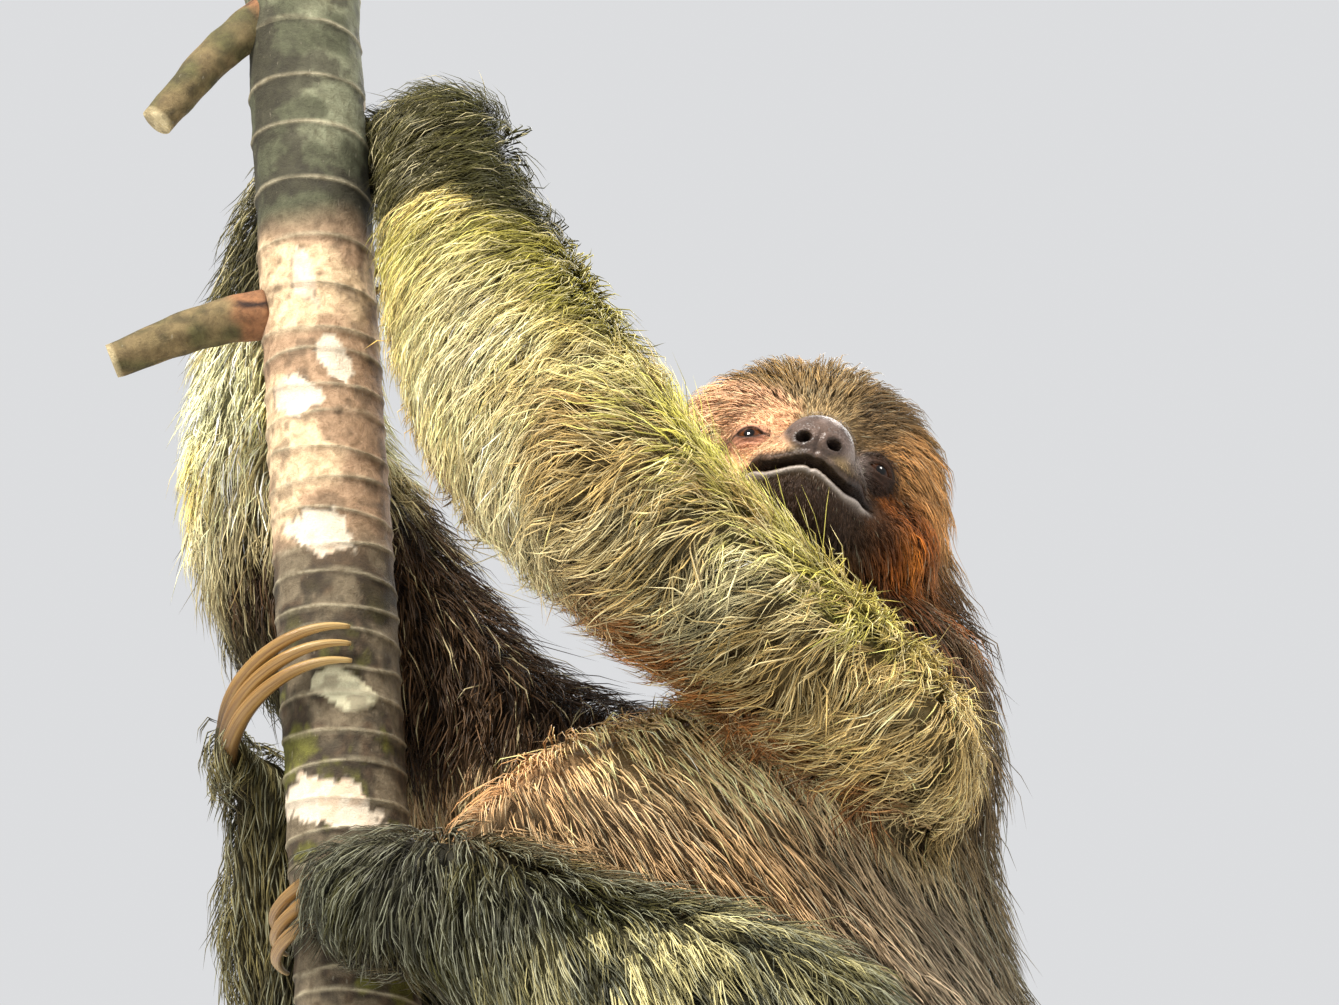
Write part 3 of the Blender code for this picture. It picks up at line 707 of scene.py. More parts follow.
def head_lie(points, normals, places):
    """Hair fans out from the bridge of the nose and runs back over the head and down the cheeks."""
    q = places["head"]
    fan = q - (0.0, -0.052, -0.006)
    fan[:, 1] *= 0.8
    fan[:, 2] -= 0.9 * ramp(0.02, 0.045, np.abs(q[:, 0])) * 0.03
    fan[:, 1] += 0.02 * ramp(0.01, 0.04, q[:, 2])
    return unit(fan) @ HEAD[:3, :3].T - 0.15 * UP


def arm_left_lie(points, normals, places):
    """Hair sweeps over the forearm to the trunk's side and hangs there; on the upper arm it falls down."""
    along, axis = places["arm_left"]
    fore = ramp(0.34, 0.46, along)[:, None]
    wrist = ramp(0.66, 0.8, along)[:, None]
    mid = ramp(0.58, 0.48, along)[:, None]
    sweep = lerp(np.array([-0.92, 0.05, 0.05]), np.array([-0.8, 0.0, -0.25]), mid)
    sweep = lerp(sweep, np.array([-0.9, 0.0, 0.05]), wrist) - 0.5 * axis
    curl = 2 * math.pi * noise(points, 0.016, 61)
    top = ramp(-0.05, 0.6, normals[:, 2])[:, None]
    lean = 0.35 * ramp(0.1, 0.32, along)
    fall = np.stack([0.65 * np.cos(curl) - lean, 0 * curl, 0.5 * np.sin(curl) - 0.7], axis=1)
    shoulder = ramp(0.26, 0.1, along)[:, None]
    over = lerp(axis, np.array([0.15, -0.95, -0.25]), shoulder * top)
    fall = fall * (1 - 0.5 * top) + lerp(0.35, 0.8, top) * over
    return lerp(fall, sweep, fore)


def arm_right_lie(points, normals, places):
    along, axis = places["arm_right"]
    fore = ramp(0.34, 0.5, along)[:, None]
    return lerp(np.array([0.15, 0.15, -0.85]) + 0.3 * axis, np.array([-0.18, -0.12, -0.8]) - 0.3 * axis, fore)


def leg_lie(name, points, normals, places):
    """Hair drapes over the shin and falls both ways from the knee."""
    along, axis = places[name]
    foot = ramp(0.8, 0.95, along)[:, None]
    way = axis * lerp(0.75, 0.0, ramp(0.55, 0.85, along))[:, None]
    return lerp(-UP - way, axis * 0.5 - UP * 0.9, foot)


LIE_OF = {
    "torso": torso_lie,
    "neck": lambda points, normals, places: (0.18, 0.05, -1.0),
    "tail": lambda points, normals, places: unit(places["tail"][1] - 0.4 * UP),
    "arm_left": arm_left_lie,
    "arm_right": arm_right_lie,
    "head": head_lie,
    **{name: partial(leg_lie, name) for name in LEGS},
}


def lie(points, normals):
    """The way the hair lies along the skin, as unit vectors square to the normals."""
    way = blend_parts(LIE_OF, points, normals, 0.01)
    return unit(way - normals * dot(way, normals)[:, None])


# --- Meshes and their data


def new_object(name, mesh):
    obj = bpy.data.objects.new(name, mesh)
    bpy.context.scene.collection.objects.link(obj)
    return obj


def read(items, key, width, kind=float):
    """A property of all items as an array of rows."""
    flat = np.empty(len(items) * width, kind)
    items.foreach_get(key, flat)
    return flat.reshape(-1, width)


def mesh_arrays(mesh):
    """Vertex places, vertex normals, triangles, and the UV corners of each triangle."""
    mesh.calc_loop_triangles()
    uv = None
    if mesh.uv_layers:
        uv = read(mesh.uv_layers[0].uv, "vector", 2)[read(mesh.loop_triangles, "loops", 3, np.int64)]
    tris = read(mesh.loop_triangles, "vertices", 3, np.int64)
    return read(mesh.vertices, "co", 3), read(mesh.vertex_normals, "vector", 3), tris, uv


def put(mesh, name, values):
    """An attribute of one or three numbers for each vertex."""
    kind, key = ("FLOAT", "value") if values.ndim == 1 else ("FLOAT_VECTOR", "vector")
    attribute = mesh.attributes.new(name, kind, "POINT")
    attribute.data.foreach_set(key, values.astype(np.float32).ravel())


def put_tint(mesh, colours):
    data = np.ones((len(colours), 4), np.float32)
    data[:, :3] = colours
    attribute = mesh.color_attributes.new("Tint", "FLOAT_COLOR", "POINT")
    attribute.data.foreach_set("color", data.ravel())


def grid_mesh(name, rows):
    """A mesh through rings of points, an array (rows, around, 3), with capped ends."""
    count, around, _ = rows.shape
    start = np.arange(count - 1)[:, None] * around
    low = (start + np.arange(around)).ravel()
    turn = (start + (np.arange(around) + 1) % around).ravel()
    faces = np.stack([low, turn, turn + around, low + around], axis=1).tolist()
    faces += [range(around)[::-1], range((count - 1) * around, count * around)]
    mesh = bpy.data.meshes.new(name)
    mesh.from_pydata(rows.reshape(-1, 3).tolist(), [], faces)
    mesh.update()
    return mesh


# --- The skin

TUBE_SIDES = 28
DIGIT_SIDES = 12
TORSO_SIDES = 48
VOXEL = 0.00275
# The search for the head's surface: how far out it starts, how near it may come, and its number of steps.
SEARCH_OUT, SEARCH_IN, SEARCH_STEPS = 0.075, 0.015, 60


def add_ball(bm, centre, sizes, turn=Matrix.Identity(4)):
    place = Matrix.Translation(centre) @ turn @ Matrix.Diagonal((*sizes, 1.0))
    bmesh.ops.create_icosphere(bm, subdivisions=4, radius=1.0, matrix=place)


def bridge(bm, loops):
    for low, high in zip(loops, loops[1:]):
        for k in range(len(low)):
            n = (k + 1) % len(low)
            bm.faces.new((low[k], low[n], high[n], high[k]))
    bm.faces.new(reversed(loops[0]))
    bm.faces.new(loops[-1])


def add_tube(bm, path, sides):
    side = None
    loops = []
    for i, row in enumerate(path):
        before = Vector(path[max(i - 1, 0)][:3])
        after = Vector(path[min(i + 1, len(path) - 1)][:3])
        along = (after - before).normalized()
        side = along.orthogonal() if side is None else side
        side = (side - along * side.dot(along)).normalized()
        other = along.cross(side)
        loop = []
        for angle in circle(sides):
            ring = math.cos(angle) * side + math.sin(angle) * other
            loop.append(bm.verts.new(Vector(row[:3]) + float(row[3]) * ring))
        loops.append(loop)
    bridge(bm, loops)
    for row in (path[0], path[-1]):
        add_ball(bm, Vector(row[:3]), (row[3],) * 3)


def add_torso(bm):
    depth = DEPTH["torso"]
    loops = []
    for z, x, y, deep, wide in SECTIONS:
        z = max(z, SECTIONS[0, 0] + depth)
        loop = []
        for angle in circle(TORSO_SIDES):
            place = np.array([x, y, z])
            place = place + max(deep - depth, 0.004) * math.cos(angle) * BACK_WAY
            place = place + max(wide - depth, 0.004) * math.sin(angle) * WIDE_WAY
            loop.append(bm.verts.new(place))
        if loops and abs(z - loops[-1][0].co.z) < 1e-4:
            bmesh.ops.delete(bm, geom=loops.pop(), context="VERTS")
        loops.append(loop)
    bridge(bm, loops)


def claw_line(name, number, steps):
    """A claw's centre line, the way outward from the trunk along it, its half width, and places along it."""
    start, end, *sizes = CLAWS[name]
    reach, last_reach, height, rise, drop, root = mm(*sizes)
    bark = TRUNK_RADIUS + RING_PROUD
    t = np.linspace(0, 1, steps + 1)
    angle = np.radians(start + (end - start) * t)
    z = height - number * drop + rise * np.sin(t * math.pi / 2)
    half = root * (1 - CLAW_TAPER * t**2.2)
    out = bark + lerp(reach, last_reach, t ** CLAW_HUG.get(name, 0.8))
    out = np.maximum(out, bark + half * CLAW_DEPTH + CLAW_GAP)
    outward = np.stack([np.cos(angle), np.sin(angle), 0 * t], axis=1)
    return np.stack([trunk_x(z), 0 * z, z], axis=1) + out[:, None] * outward, outward, half, t


def digit(name, number):
    """The flesh of a finger or toe, from the end of its limb to just past a claw's root."""
    line, outward, _, _ = claw_line(name, number, 12)
    base = PATHS[name.replace("hand", "arm").replace("foot", "leg")][-1, :3]
    middle = lerp(base, line[0], 0.55) + 0.002 * outward[0]
    return catmull_rom([(*base, 0.0075), (*middle, 0.0062), (*line[0], 0.0046), (*line[1], 0.0034)], 3)


def refine(bm, test):
    """Divides each face whose centre passes the test in four."""
    chosen = test(to_head(np.array([f.calc_center_median() for f in bm.faces])))
    edges = {e for f, wanted in zip(bm.faces, chosen) if wanted for e in f.edges}
    bmesh.ops.subdivide_edges(bm, edges=list(edges), cuts=1, use_grid_fill=True)


def in_box(front, half, low, high, q):
    x, y, z = q.T
    return (y < front) & (np.abs(x) < half) & (z > low) & (z < high)


def in_details(q):
    """On the mouth's slit, a nostril or a lid."""
    x, y, z = q.T
    found = (np.abs(z - mouth_height(x)) < 0.0042) & (np.abs(x) < MOUTH_HALF + 0.001) & (y < -0.023)
    found |= (np.hypot(np.abs(x - NOSE_MIDDLE) - NOSTRIL[0], z - NOSTRIL[2]) < 0.0052) & (y < -0.043)
    for side in SIDES:
        along, rise, ahead, _ = eye_frame(q, side)
        found |= (np.hypot(along / 1.5, rise) < 0.0058) & (ahead > 0)
    return found


def shape_head(mesh):
    """Moves the head's vertices to the finished form, by looking in from around towards the head's inside."""
    places = mesh_arrays(mesh)[0]
    q = to_head(places)
    near = np.linalg.norm(q - (0, -0.01, -0.004), axis=1) < SEARCH_OUT
    weight = ramp(0.026, 0.006, q[:, 1]) * ramp(-0.046, -0.036, q[:, 2]) * near
    chosen = np.where(weight > 0.001)[0]
    start = np.array([0.0, 0.0, -0.008])
    way = unit(q[chosen] - start)
    reach = np.full(len(chosen), SEARCH_OUT)
    for _ in range(SEARCH_STEPS):
        d = head_field(start + way * reach[:, None])
        reach = np.maximum(reach - np.clip(d * 0.55, -0.0004, 0.004), SEARCH_IN)
    shaped = start + way * reach[:, None]
    w = weight[chosen][:, None]
    places[chosen] = from_head(q[chosen] * (1 - w) + shaped * w)
    mesh.vertices.foreach_set("co", places.ravel())
    mesh.update()


def unwrap(obj):
    """An unwrap of the skin's own shape; every tuft takes its place on it from its root."""
    bpy.ops.object.select_all(action="DESELECT")
    obj.select_set(True)
    bpy.context.view_layer.objects.active = obj
    bpy.ops.object.mode_set(mode="EDIT")
    bpy.ops.mesh.select_all(action="SELECT")
    bpy.ops.uv.smart_project(angle_limit=math.radians(66), island_margin=0.004)
    bpy.ops.object.mode_set(mode="OBJECT")


def joined_flesh():
    """All the flesh as overlapping tubes and balls, joined into one closed skin."""
    bm = bmesh.new()
    add_torso(bm)
    for path in PATHS.values():
        add_tube(bm, path, TUBE_SIDES)
    for name in CLAWS:
        for number in range(CLAW_COUNT):
            add_tube(bm, digit(name, number), DIGIT_SIDES)
    turn = Matrix(HEAD[:3, :3].tolist()).to_4x4()
    for name, (centre, sizes, _) in HEAD_FORMS.items():
        if not name.startswith("lip"):
            add_ball(bm, Vector(from_head(centre)), sizes, turn)
    mesh = bpy.data.meshes.new("skin")
    bm.to_mesh(mesh)
    bm.free()
    skin = new_object("skin", mesh)
    remesh = skin.modifiers.new("join", "REMESH")
    remesh.mode = "VOXEL"
    remesh.voxel_size = VOXEL
    smooth = skin.modifiers.new("round", "SMOOTH")
    smooth.factor = 0.5
    smooth.iterations = 8
    graph = bpy.context.evaluated_depsgraph_get()
    graph.update()
    mesh = bpy.data.meshes.new_from_object(skin.evaluated_get(graph))
    skin.modifiers.clear()
    skin.data = mesh
    return skin


def build_skin():
    """One closed skin for all the flesh, fine where the face needs it."""
    skin = joined_flesh()
    bm = bmesh.new()
    bm.from_mesh(skin.data)
    refine(bm, partial(in_box, -0.009, 0.04, -0.042, 0.03))
    refine(bm, partial(in_box, -0.019, 0.033, -0.032, 0.01))
    refine(bm, in_details)
    bmesh.ops.triangulate(bm, faces=[f for f in bm.faces if len(f.verts) > 4])
    bm.to_mesh(skin.data)
    bm.free()
    shape_head(skin.data)
    unwrap(skin)
    skin.data.shade_smooth()
    places, normals, _, _ = mesh_arrays(skin.data)
    q = to_head(places)
    wet = np.clip(nose_mask(q) + 0.7 * lip_mask(q), 0, 1)
    # skin under long hair is darkened as painted shade beneath the coat
    shown = np.maximum(wet, ramp(0.012, 0.004, coat_values(places)["length"]))[:, None]
    put_tint(skin.data, markings(places, normals) * lerp(0.38, 1.0, shown))
    put(skin.data, "Wet", wet)
    return skin


# --- The coat of mesh hair

PIECE_TRIANGLES = 190000
BAKE_PATCH = 0.003  # size of a hair's patch on the bake map
FACE_STEPS = 2
COAT_STEPS = 3
GUIDE_EVERY = 7  # hairs to a guide


def coat_values(points):
    """The hair's values at each point, with roots per square metre, and the part that the point is on."""
    beyond, places = part_fields(points)
    share = part_shares(beyond, 0.008)
    values = share.T @ np.array(list(COATS.values()))
    coat = dict(zip(COAT_KEYS, values.T))
    on = dict(zip(PARTS, share))

    def bring(amount, **targets):
        for key, target in targets.items():
            coat[key] = lerp(coat[key], target, amount)

    # hands and feet are shorter, and the near forearm's hair is long and orderly
    for name in LIMBS:
        bring(ramp(0.8, 0.98, places[name][0]) * on[name], length=0.02, height=HAND_DEPTH)
    along = places["arm_left"][0]
    fore = ramp(0.42, 0.52, along) * ramp(0.95, 0.8, along) * on["arm_left"]
    bring(fore, disorder=0.17, length=np.maximum(coat["length"], 0.029))
    # the face is fine and short
    q = places["head"]
    x, y, z = q.T
    far = np.linalg.norm((q - (0.0, -0.052, -0.008)) * (1.0, 1.0, 1.1), axis=1)
    face = on["head"] * ramp(0.068, 0.016, far)
    bring(face**0.75, length=0.003)
    bring(face**0.65, height=0.0012)
    bring(face**0.8, width=0.00026)
    bring(face**1.3, roots=240)
    bring(face, disorder=0.1)
    gap = np.full(len(q), np.inf)
    for side in SIDES:
        along, rise, ahead, _ = eye_frame(q, side)
        gap = np.minimum(gap, np.where(ahead > -0.004, np.hypot(along / 1.4, rise), np.inf))
    bring(on["head"] * ramp(0.016, 0.004, gap), length=0.0022, height=0.0007)
    lips = np.abs(z - mouth_height(x)) + np.maximum(np.abs(x) - MOUTH_HALF, 0) + np.maximum(y + 0.027, 0)
    bring(on["head"] * ramp(0.012, 0.003, lips), length=0.0024, height=0.0007)
    # nose, lips and lids are bare
    bare = np.maximum(ramp(0.25, 0.75, nose_mask(q)), ramp(0.004, 0.003, lips))
    bare = np.maximum(bare, ramp(0.0046, 0.0036, gap)) * on["head"]
    coat["roots"] = coat["roots"] * (1 - bare) * 1e4
    coat["part"] = np.argmax(share, axis=0)
    return coat


class Skin:
    """The skin's shape as arrays, and what is needed to look things up on it."""

    def __init__(self, obj):
        self.places, self.normals, self.tris, self.uv = mesh_arrays(obj.data)
        self.tree = BVHTree.FromPolygons(self.places.tolist(), self.tris.tolist())

    def scatter(self, rng):
        """Roots at the coat's own density: places, normals and UVs."""
        corners = self.places[self.tris]
        cross = np.cross(corners[:, 1] - corners[:, 0], corners[:, 2] - corners[:, 0])
        want = coat_values(corners.mean(axis=1))["roots"] * (np.linalg.norm(cross, axis=1) / 2)
        count = int(want.sum())
        steps = (np.arange(count) + rng.random(count)) / count * want.sum()
        face = np.minimum(np.searchsorted(np.cumsum(want), steps), len(want) - 1)
        a, b = rng.random((2, count))
        fold = a + b > 1
        a[fold], b[fold] = 1 - a[fold], 1 - b[fold]
        mixed = np.stack([1 - a - b, a, b], axis=1)[:, :, None]
        places = (corners[face] * mixed).sum(axis=1)
        normals = unit((self.normals[self.tris[face]] * mixed).sum(axis=1))
        return places, normals, (self.uv[face] * mixed).sum(axis=1)

    def nearest(self, points):
        found = [self.tree.find_nearest(p)[:2] for p in points.tolist()]
        return np.array(found).transpose(1, 0, 2)


def grow_guides(skin, roots, normals, steps, rng):
    """Hair that leaves the skin, turns along its lie and lies over the body at its own height."""
    coat = coat_values(roots)
    path = [roots - 0.0006 * normals]
    layer = lerp(0.4, 1.0, rng.random(len(roots)) ** 0.7)
    length = coat["length"] * lerp(0.8, 1.15, rng.random(len(roots)))
    messy = coat["disorder"][:, None]
    way = unit(lie(roots, normals) + 0.9 * messy * rng.normal(size=roots.shape) + 0.55 * normals)
    here = roots
    for k in range(1, steps + 1):
        here = here + way * (length / steps)[:, None]
        near, outward = skin.nearest(here)
        above = dot(here - near, outward)
        shift = coat["height"] * layer * min(1.0, 0.35 + 0.85 * k / steps) - above
        shift = np.where(shift > 0, shift, coat["hold"] * shift)
        here = here + outward * np.minimum(shift, 1.1 * coat["height"] - above)[:, None]
        path.append(here)
        way = 0.6 * way + 0.55 * lie(near, outward) - 0.18 * UP + messy * rng.normal(size=roots.shape)
        way = unit(way)
    return np.array(path), coat["disorder"], coat["gather"]


def hair_from_guides(guides, roots, rng):
    """Each hair follows its nearest guide and gathers towards it, with its own length and bends."""
    places, disorder, gather = guides
    tree = KDTree(len(places[0]))
    for i, p in enumerate(places[0].tolist()):
        tree.insert(p, i)
    tree.balance()
    second = rng.random(len(roots)) < 0.25
    guide = np.array([tree.find_n(p, 2)[pick][1] for p, pick in zip(roots.tolist(), second.tolist())])
    steps = len(places) - 1
    stretch = lerp(0.62, 1.1, rng.random(len(roots)))[:, None]
    offset = roots - places[0][guide]
    size = np.linalg.norm(places[-1] - places[0], axis=1)[guide][:, None]
    pull = (gather[guide] * lerp(0.3, 1.3, rng.random(len(roots))))[:, None]
    stray = np.where(rng.random(len(roots)) < 0.06, 2.4, 1.0)[:, None]
    path = np.empty((steps + 1, len(roots), 3))
    bend = drift = np.zeros_like(roots)
    for k in range(steps + 1):
        path[k] = places[0][guide] + (places[k] - places[0])[guide] * stretch
        path[k] += offset * (1 - pull * (k / steps) ** 0.8) + drift
        bend = bend + rng.normal(size=roots.shape) * disorder[guide][:, None] * 0.42 * stray
        drift = drift + bend * size / steps * 0.55
    return path


# How much single hairs differ in shade, the share with pale tips, and the draw above which a hair is dark.
HAIR_MIX = {"arm": (0.36, 0.22, 0.87), "leg": (0.28, 0.28, 0.93), "torso": (0.28, 0.14, 0.93)}
HAIR_MIX |= {"tail": HAIR_MIX["torso"], "neck": (0.28, 0.05, 0.93), "head": (0.28, 0.05, 0.93)}


def hair_colours(roots, normals, steps, kind, rng):
    """Colours for each ring of each hair: dark at the root as painted shade deep in the coat, its own shade,
    some with pale or dark tips.
    """
    spread, pale_share, dark_from = HAIR_MIX[kind]
    shade = np.exp(rng.normal(size=len(roots)) * spread)
    lock = 0.66 + 0.75 * noise(roots, 0.006, 31)
    colour = markings(roots, normals) * (shade * lock)[:, None]
    stray = rng.random(len(roots))
    is_dark = (colour.mean(axis=1) < 0.07) & (kind != "leg")
    pale = stray < pale_share * np.where(is_dark, 0.25, 1.0)
    tip = colour * 1.18
    paler = CREAM * 1.05 if kind == "arm" else PALE_TIP * 0.8
    tip[pale] = lerp(tip, paler, 0.75)[pale]
    dark = stray > dark_from
    tip[dark] *= 0.45
    colour[dark] *= 0.6
    # painted shade: darker towards the root
    rings = [lerp(colour * lerp(0.34, 1.0, min(1.0, 1.7 * t)), tip, t) for t in np.arange(steps + 1) / steps]
    return np.clip(np.array(rings), 0.001, 1.0)


def spindle_faces(steps):
    """The faces of a three-sided spindle that is pointed at both ends."""
    tip = 3 * steps - 2
    pairs = [(j, (j + 1) % 3) for j in range(3)]
    faces = [(0, 1 + b, 1 + a) for a, b in pairs]
    for low in range(1, tip - 3, 3):
        faces += [(low + a, low + b, low + b + 3, low + a + 3) for a, b in pairs]
    return faces + [(tip - 3 + a, tip - 3 + b, tip) for a, b in pairs]


def hair_mesh(name, path, normals, width, colours, uv):
    """Closed thin spindles along the paths."""
    steps = len(path) - 1
    count = path.shape[1]
    corners = [(0, path[0], 0.0)]  # of each spindle: the step along, the points, and the place across
    for k in range(1, steps):
        tangent = unit(path[k + 1] - path[k - 1])
        outward = unit(normals - tangent * dot(normals, tangent)[:, None])
        across = np.cross(tangent, outward)
        breadth = (width * 1.15 * (1 - k / steps) ** 0.42)[:, None]
        for a, b in ((0.5, 0.0), (-0.5, 0.0), (0.0, 0.45)):
            corners.append((k, path[k] + breadth * (a * across + b * outward), a))
    corners.append((steps, path[steps], 0.0))
    size = len(corners)
    places = np.stack([points for _, points, _ in corners], axis=1)
    tints = np.stack([colours[k] for k, _, _ in corners], axis=1)
    maps = np.stack([uv + BAKE_PATCH * np.array([a, k / steps - 0.5]) for k, _, a in corners], axis=1)
    faces = spindle_faces(steps)
    lengths = np.tile([len(face) for face in faces], count)
    loops = (np.concatenate(faces) + size * np.arange(count)[:, None]).ravel()
    mesh = bpy.data.meshes.new(name)
    mesh.vertices.add(count * size)
    mesh.vertices.foreach_set("co", places.ravel())
    mesh.loops.add(len(loops))
    mesh.loops.foreach_set("vertex_index", loops.astype(np.int32))
    mesh.polygons.add(len(lengths))
    mesh.polygons.foreach_set("loop_start", (np.cumsum(lengths) - lengths).astype(np.int32))
    mesh.update(calc_edges=True)
    layer = mesh.uv_layers.new(name="OFBake")
    layer.uv.foreach_set("vector", maps.reshape(-1, 2)[loops].ravel().astype(np.float32))
    put_tint(mesh, tints.reshape(-1, 3))
    mesh.shade_smooth()
    return mesh


def add_hair(skin, name, steps, roots, rng, shade):
    """Grows one region's hair and makes its pieces, each under the limit of triangles."""
    places, normals, uv = roots
    guides = grow_guides(skin, places[::GUIDE_EVERY], normals[::GUIDE_EVERY], steps, rng)
    hair = hair_from_guides(guides, places, rng)
    width = coat_values(places)["width"] * lerp(0.75, 1.2, rng.random(len(places)))
    kind = name.split("_")[0]
    colours = hair_colours(places, normals, steps, kind, rng)
    triangles = len(places) * 6 * (steps - 1)
    order = np.argsort(-places[:, 2], kind="stable")
    for number, part in enumerate(np.array_split(order, math.ceil(triangles / PIECE_TRIANGLES))):
        label = f"coat_{name}_{number + 1}"
        mesh = hair_mesh(label, hair[:, part], normals[part], width[part], colours[:, part], uv[part])
        obj = new_object(label, mesh)
        mesh.materials.append(shade)
        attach(obj, "root")
    print("coat", name, len(places), "hairs", triangles, "triangles")


def add_coat(skin_object, shade):
    skin = Skin(skin_object)
    rng = np.random.default_rng(7)
    roots = skin.scatter(rng)
    coat = coat_values(roots[0])
    short = coat["length"] < 0.01
    for k, name in enumerate(PARTS):
        here = coat["part"] == k
        groups = [(name, COAT_STEPS, here)]
        if name == "head":
            groups = [(name, COAT_STEPS, here & ~short), ("head_face", FACE_STEPS, here & short)]
        for label, steps, chosen in groups:
            add_hair(skin, label, steps, [values[chosen] for values in roots], rng, shade)


# --- Materials


class Shade:
    """A material and short ways to add nodes to it."""

    def __init__(self, name, roughness, **fixed):
        self.material = bpy.data.materials.new(name)
        self.material.use_nodes = True
        self.nodes = self.material.node_tree.nodes
        self.surface = next(n for n in self.nodes if n.type == "BSDF_PRINCIPLED")
        self.set_inputs(self.surface, Roughness=roughness, **fixed)

    def set_input(self, socket, value):
        if isinstance(value, bpy.types.NodeSocket):
            self.material.node_tree.links.new(value, socket)
        elif socket.type == "RGBA":
            socket.default_value = (*value, 1.0)
        else:
            socket.default_value = value

    def set_inputs(self, node, **values):
        """Links or sets inputs by name; _ stands for a space."""
        for key, value in values.items():
            self.set_input(node.inputs[key.replace("_", " ")], value)

    def add(self, kind, output, **values):
        node = self.nodes.new("ShaderNode" + kind)
        self.set_inputs(node, **values)
        return node.outputs[output]

    def attribute(self, name, output):
        socket = self.add("Attribute", output)
        socket.node.attribute_name = name
        return socket

    def place(self, scale=(1, 1, 1)):
        return self.add("Mapping", "Vector", Vector=self.add("TexCoord", "Object"), Scale=scale)

    def noise(self, vector, scale, detail=3.0, rough=0.55, distortion=0.0):
        values = {"Scale": scale, "Detail": detail, "Roughness": rough, "Distortion": distortion}
        return self.add("TexNoise", "Fac", Vector=vector, **values)

    def span(self, value, low, high, to_low=0.0, to_high=1.0):
        values = {"From_Min": low, "From_Max": high, "To_Min": to_low, "To_Max": to_high}
        return self.add("MapRange", "Result", Value=value, **values)

    def blend(self, amount, a, b, way="MIX"):
        node = self.nodes.new("ShaderNodeMix")
        node.data_type = "RGBA"
        node.blend_type = way
        for key, value in ((0, amount), (6, a), (7, b)):
            self.set_input(node.inputs[key], value)
        return node.outputs[2]

    def darkened(self, factor):
        """The mesh's own colours, times a factor."""
        return self.blend(1.0, self.tint, factor, "MULTIPLY")

    def mottled(self, amount, factor):
        """The mesh's own colours, darkened where the amount is low."""
        self.tint = self.attribute("Tint", "Color")
        return self.blend(amount, self.darkened(factor), self.tint)

    def finish(self, colour, roughness=None, bump=None):
        """Joins the surface's inputs; a bump is its height, strength and distance."""
        self.set_inputs(self.surface, Base_Color=colour)
        if roughness:
            self.set_inputs(self.surface, Roughness=roughness)
        if bump:
            height, strength, distance = bump
            normal = self.add("Bump", "Normal", Height=height, Strength=strength, Distance=distance)
            self.set_inputs(self.surface, Normal=normal)
        return self.material


def grey(value):
    return (value, value, value)


def coat_shade():
    shade = Shade("coat_hair", 0.46, Specular_IOR_Level=0.24)
    fleck = shade.span(shade.noise(shade.place(), 900.0, 2.0), 0.3, 0.7)
    return shade.finish(shade.mottled(fleck, grey(0.8)))


def skin_shade():
    shade = Shade("skin_bare", 0.55, Specular_IOR_Level=0.2)
    place = shade.place()
    fine = shade.noise(place, 1400.0)
    cells = shade.add("TexVoronoi", "Distance", Vector=place, Scale=1100.0)
    roughness = shade.span(shade.attribute("Wet", "Fac"), 0.0, 1.0, 0.66, 0.34)
    bump = (shade.blend(0.4, cells, fine), 0.6, 0.0005)
    return shade.finish(shade.mottled(shade.span(fine, 0.3, 0.7), grey(0.62)), roughness, bump)


def eye_shade():
    shade = Shade("eye_wet", 0.1, Coat_Weight=0.3, Coat_Roughness=0.04, Specular_IOR_Level=0.15)
    fine = shade.noise(shade.place(), 2600.0)
    return shade.finish(shade.mottled(shade.span(fine, 0.3, 0.7), grey(0.7)))


def claw_shade():
    shade = Shade("claw_horn", 0.34, Specular_IOR_Level=0.45)
    streak = shade.noise(shade.attribute("Grain", "Vector"), 1.0, 4.0, 0.6)
    pit = shade.noise(shade.place(), 1500.0, 2.0)
    colour = shade.mottled(shade.span(streak, 0.38, 0.66), (0.5, 0.4, 0.3))
    return shade.finish(colour, shade.span(pit, 0.3, 0.7, 0.26, 0.46), (streak, 0.45, 0.0004))


def bark_shade():
    shade = Shade("bark", 0.82, Specular_IOR_Level=0.3)
    place = shade.place()
    coarse = shade.noise(place, 260.0, 6.0, 0.68, 0.4)
    fine = shade.noise(place, 1300.0, 4.0, 0.7)
    pores = shade.noise(shade.place((1.0, 1.0, 0.35)), 620.0, 2.0)
    base = shade.mottled(shade.span(coarse, 0.36, 0.64), (0.5, 0.47, 0.42))
    base = shade.blend(shade.span(fine, 0.6, 0.72, 0.0, 0.55), base, shade.darkened(grey(0.28)))
    base = shade.blend(shade.span(pores, 0.7, 0.76, 0.0, 0.35), base, (0.3, 0.27, 0.2))
    peeled = shade.blend(shade.span(fine, 0.4, 0.7, 0.0, 0.3), shade.tint, (0.36, 0.26, 0.18))
    colour = shade.blend(shade.attribute("Peeled", "Fac"), base, peeled)
    bump = (shade.blend(0.5, coarse, fine), 0.8, 0.0011)
    return shade.finish(colour, shade.span(coarse, 0.3, 0.7, 0.7, 0.9), bump)


def wood_shade():
    shade = Shade("stand_dark_wood", 0.42, Coat_Weight=0.25, Coat_Roughness=0.3)
    grain = shade.noise(shade.place((3.0, 42.0, 42.0)), 3.2, 5.0, 0.6, 1.2)
    pore = shade.noise(shade.place((40.0, 900.0, 400.0)), 1.0, 2.0)
    tone = shade.blend(shade.span(grain, 0.32, 0.7), (0.045, 0.022, 0.011), (0.15, 0.075, 0.036))
    colour = shade.blend(shade.span(pore, 0.6, 0.75, 0.0, 0.6), tone, (0.02, 0.01, 0.006))
    bump = (shade.blend(0.5, grain, pore), 0.25, 0.0004)
    return shade.finish(colour, shade.span(grain, 0.3, 0.7, 0.34, 0.52), bump)


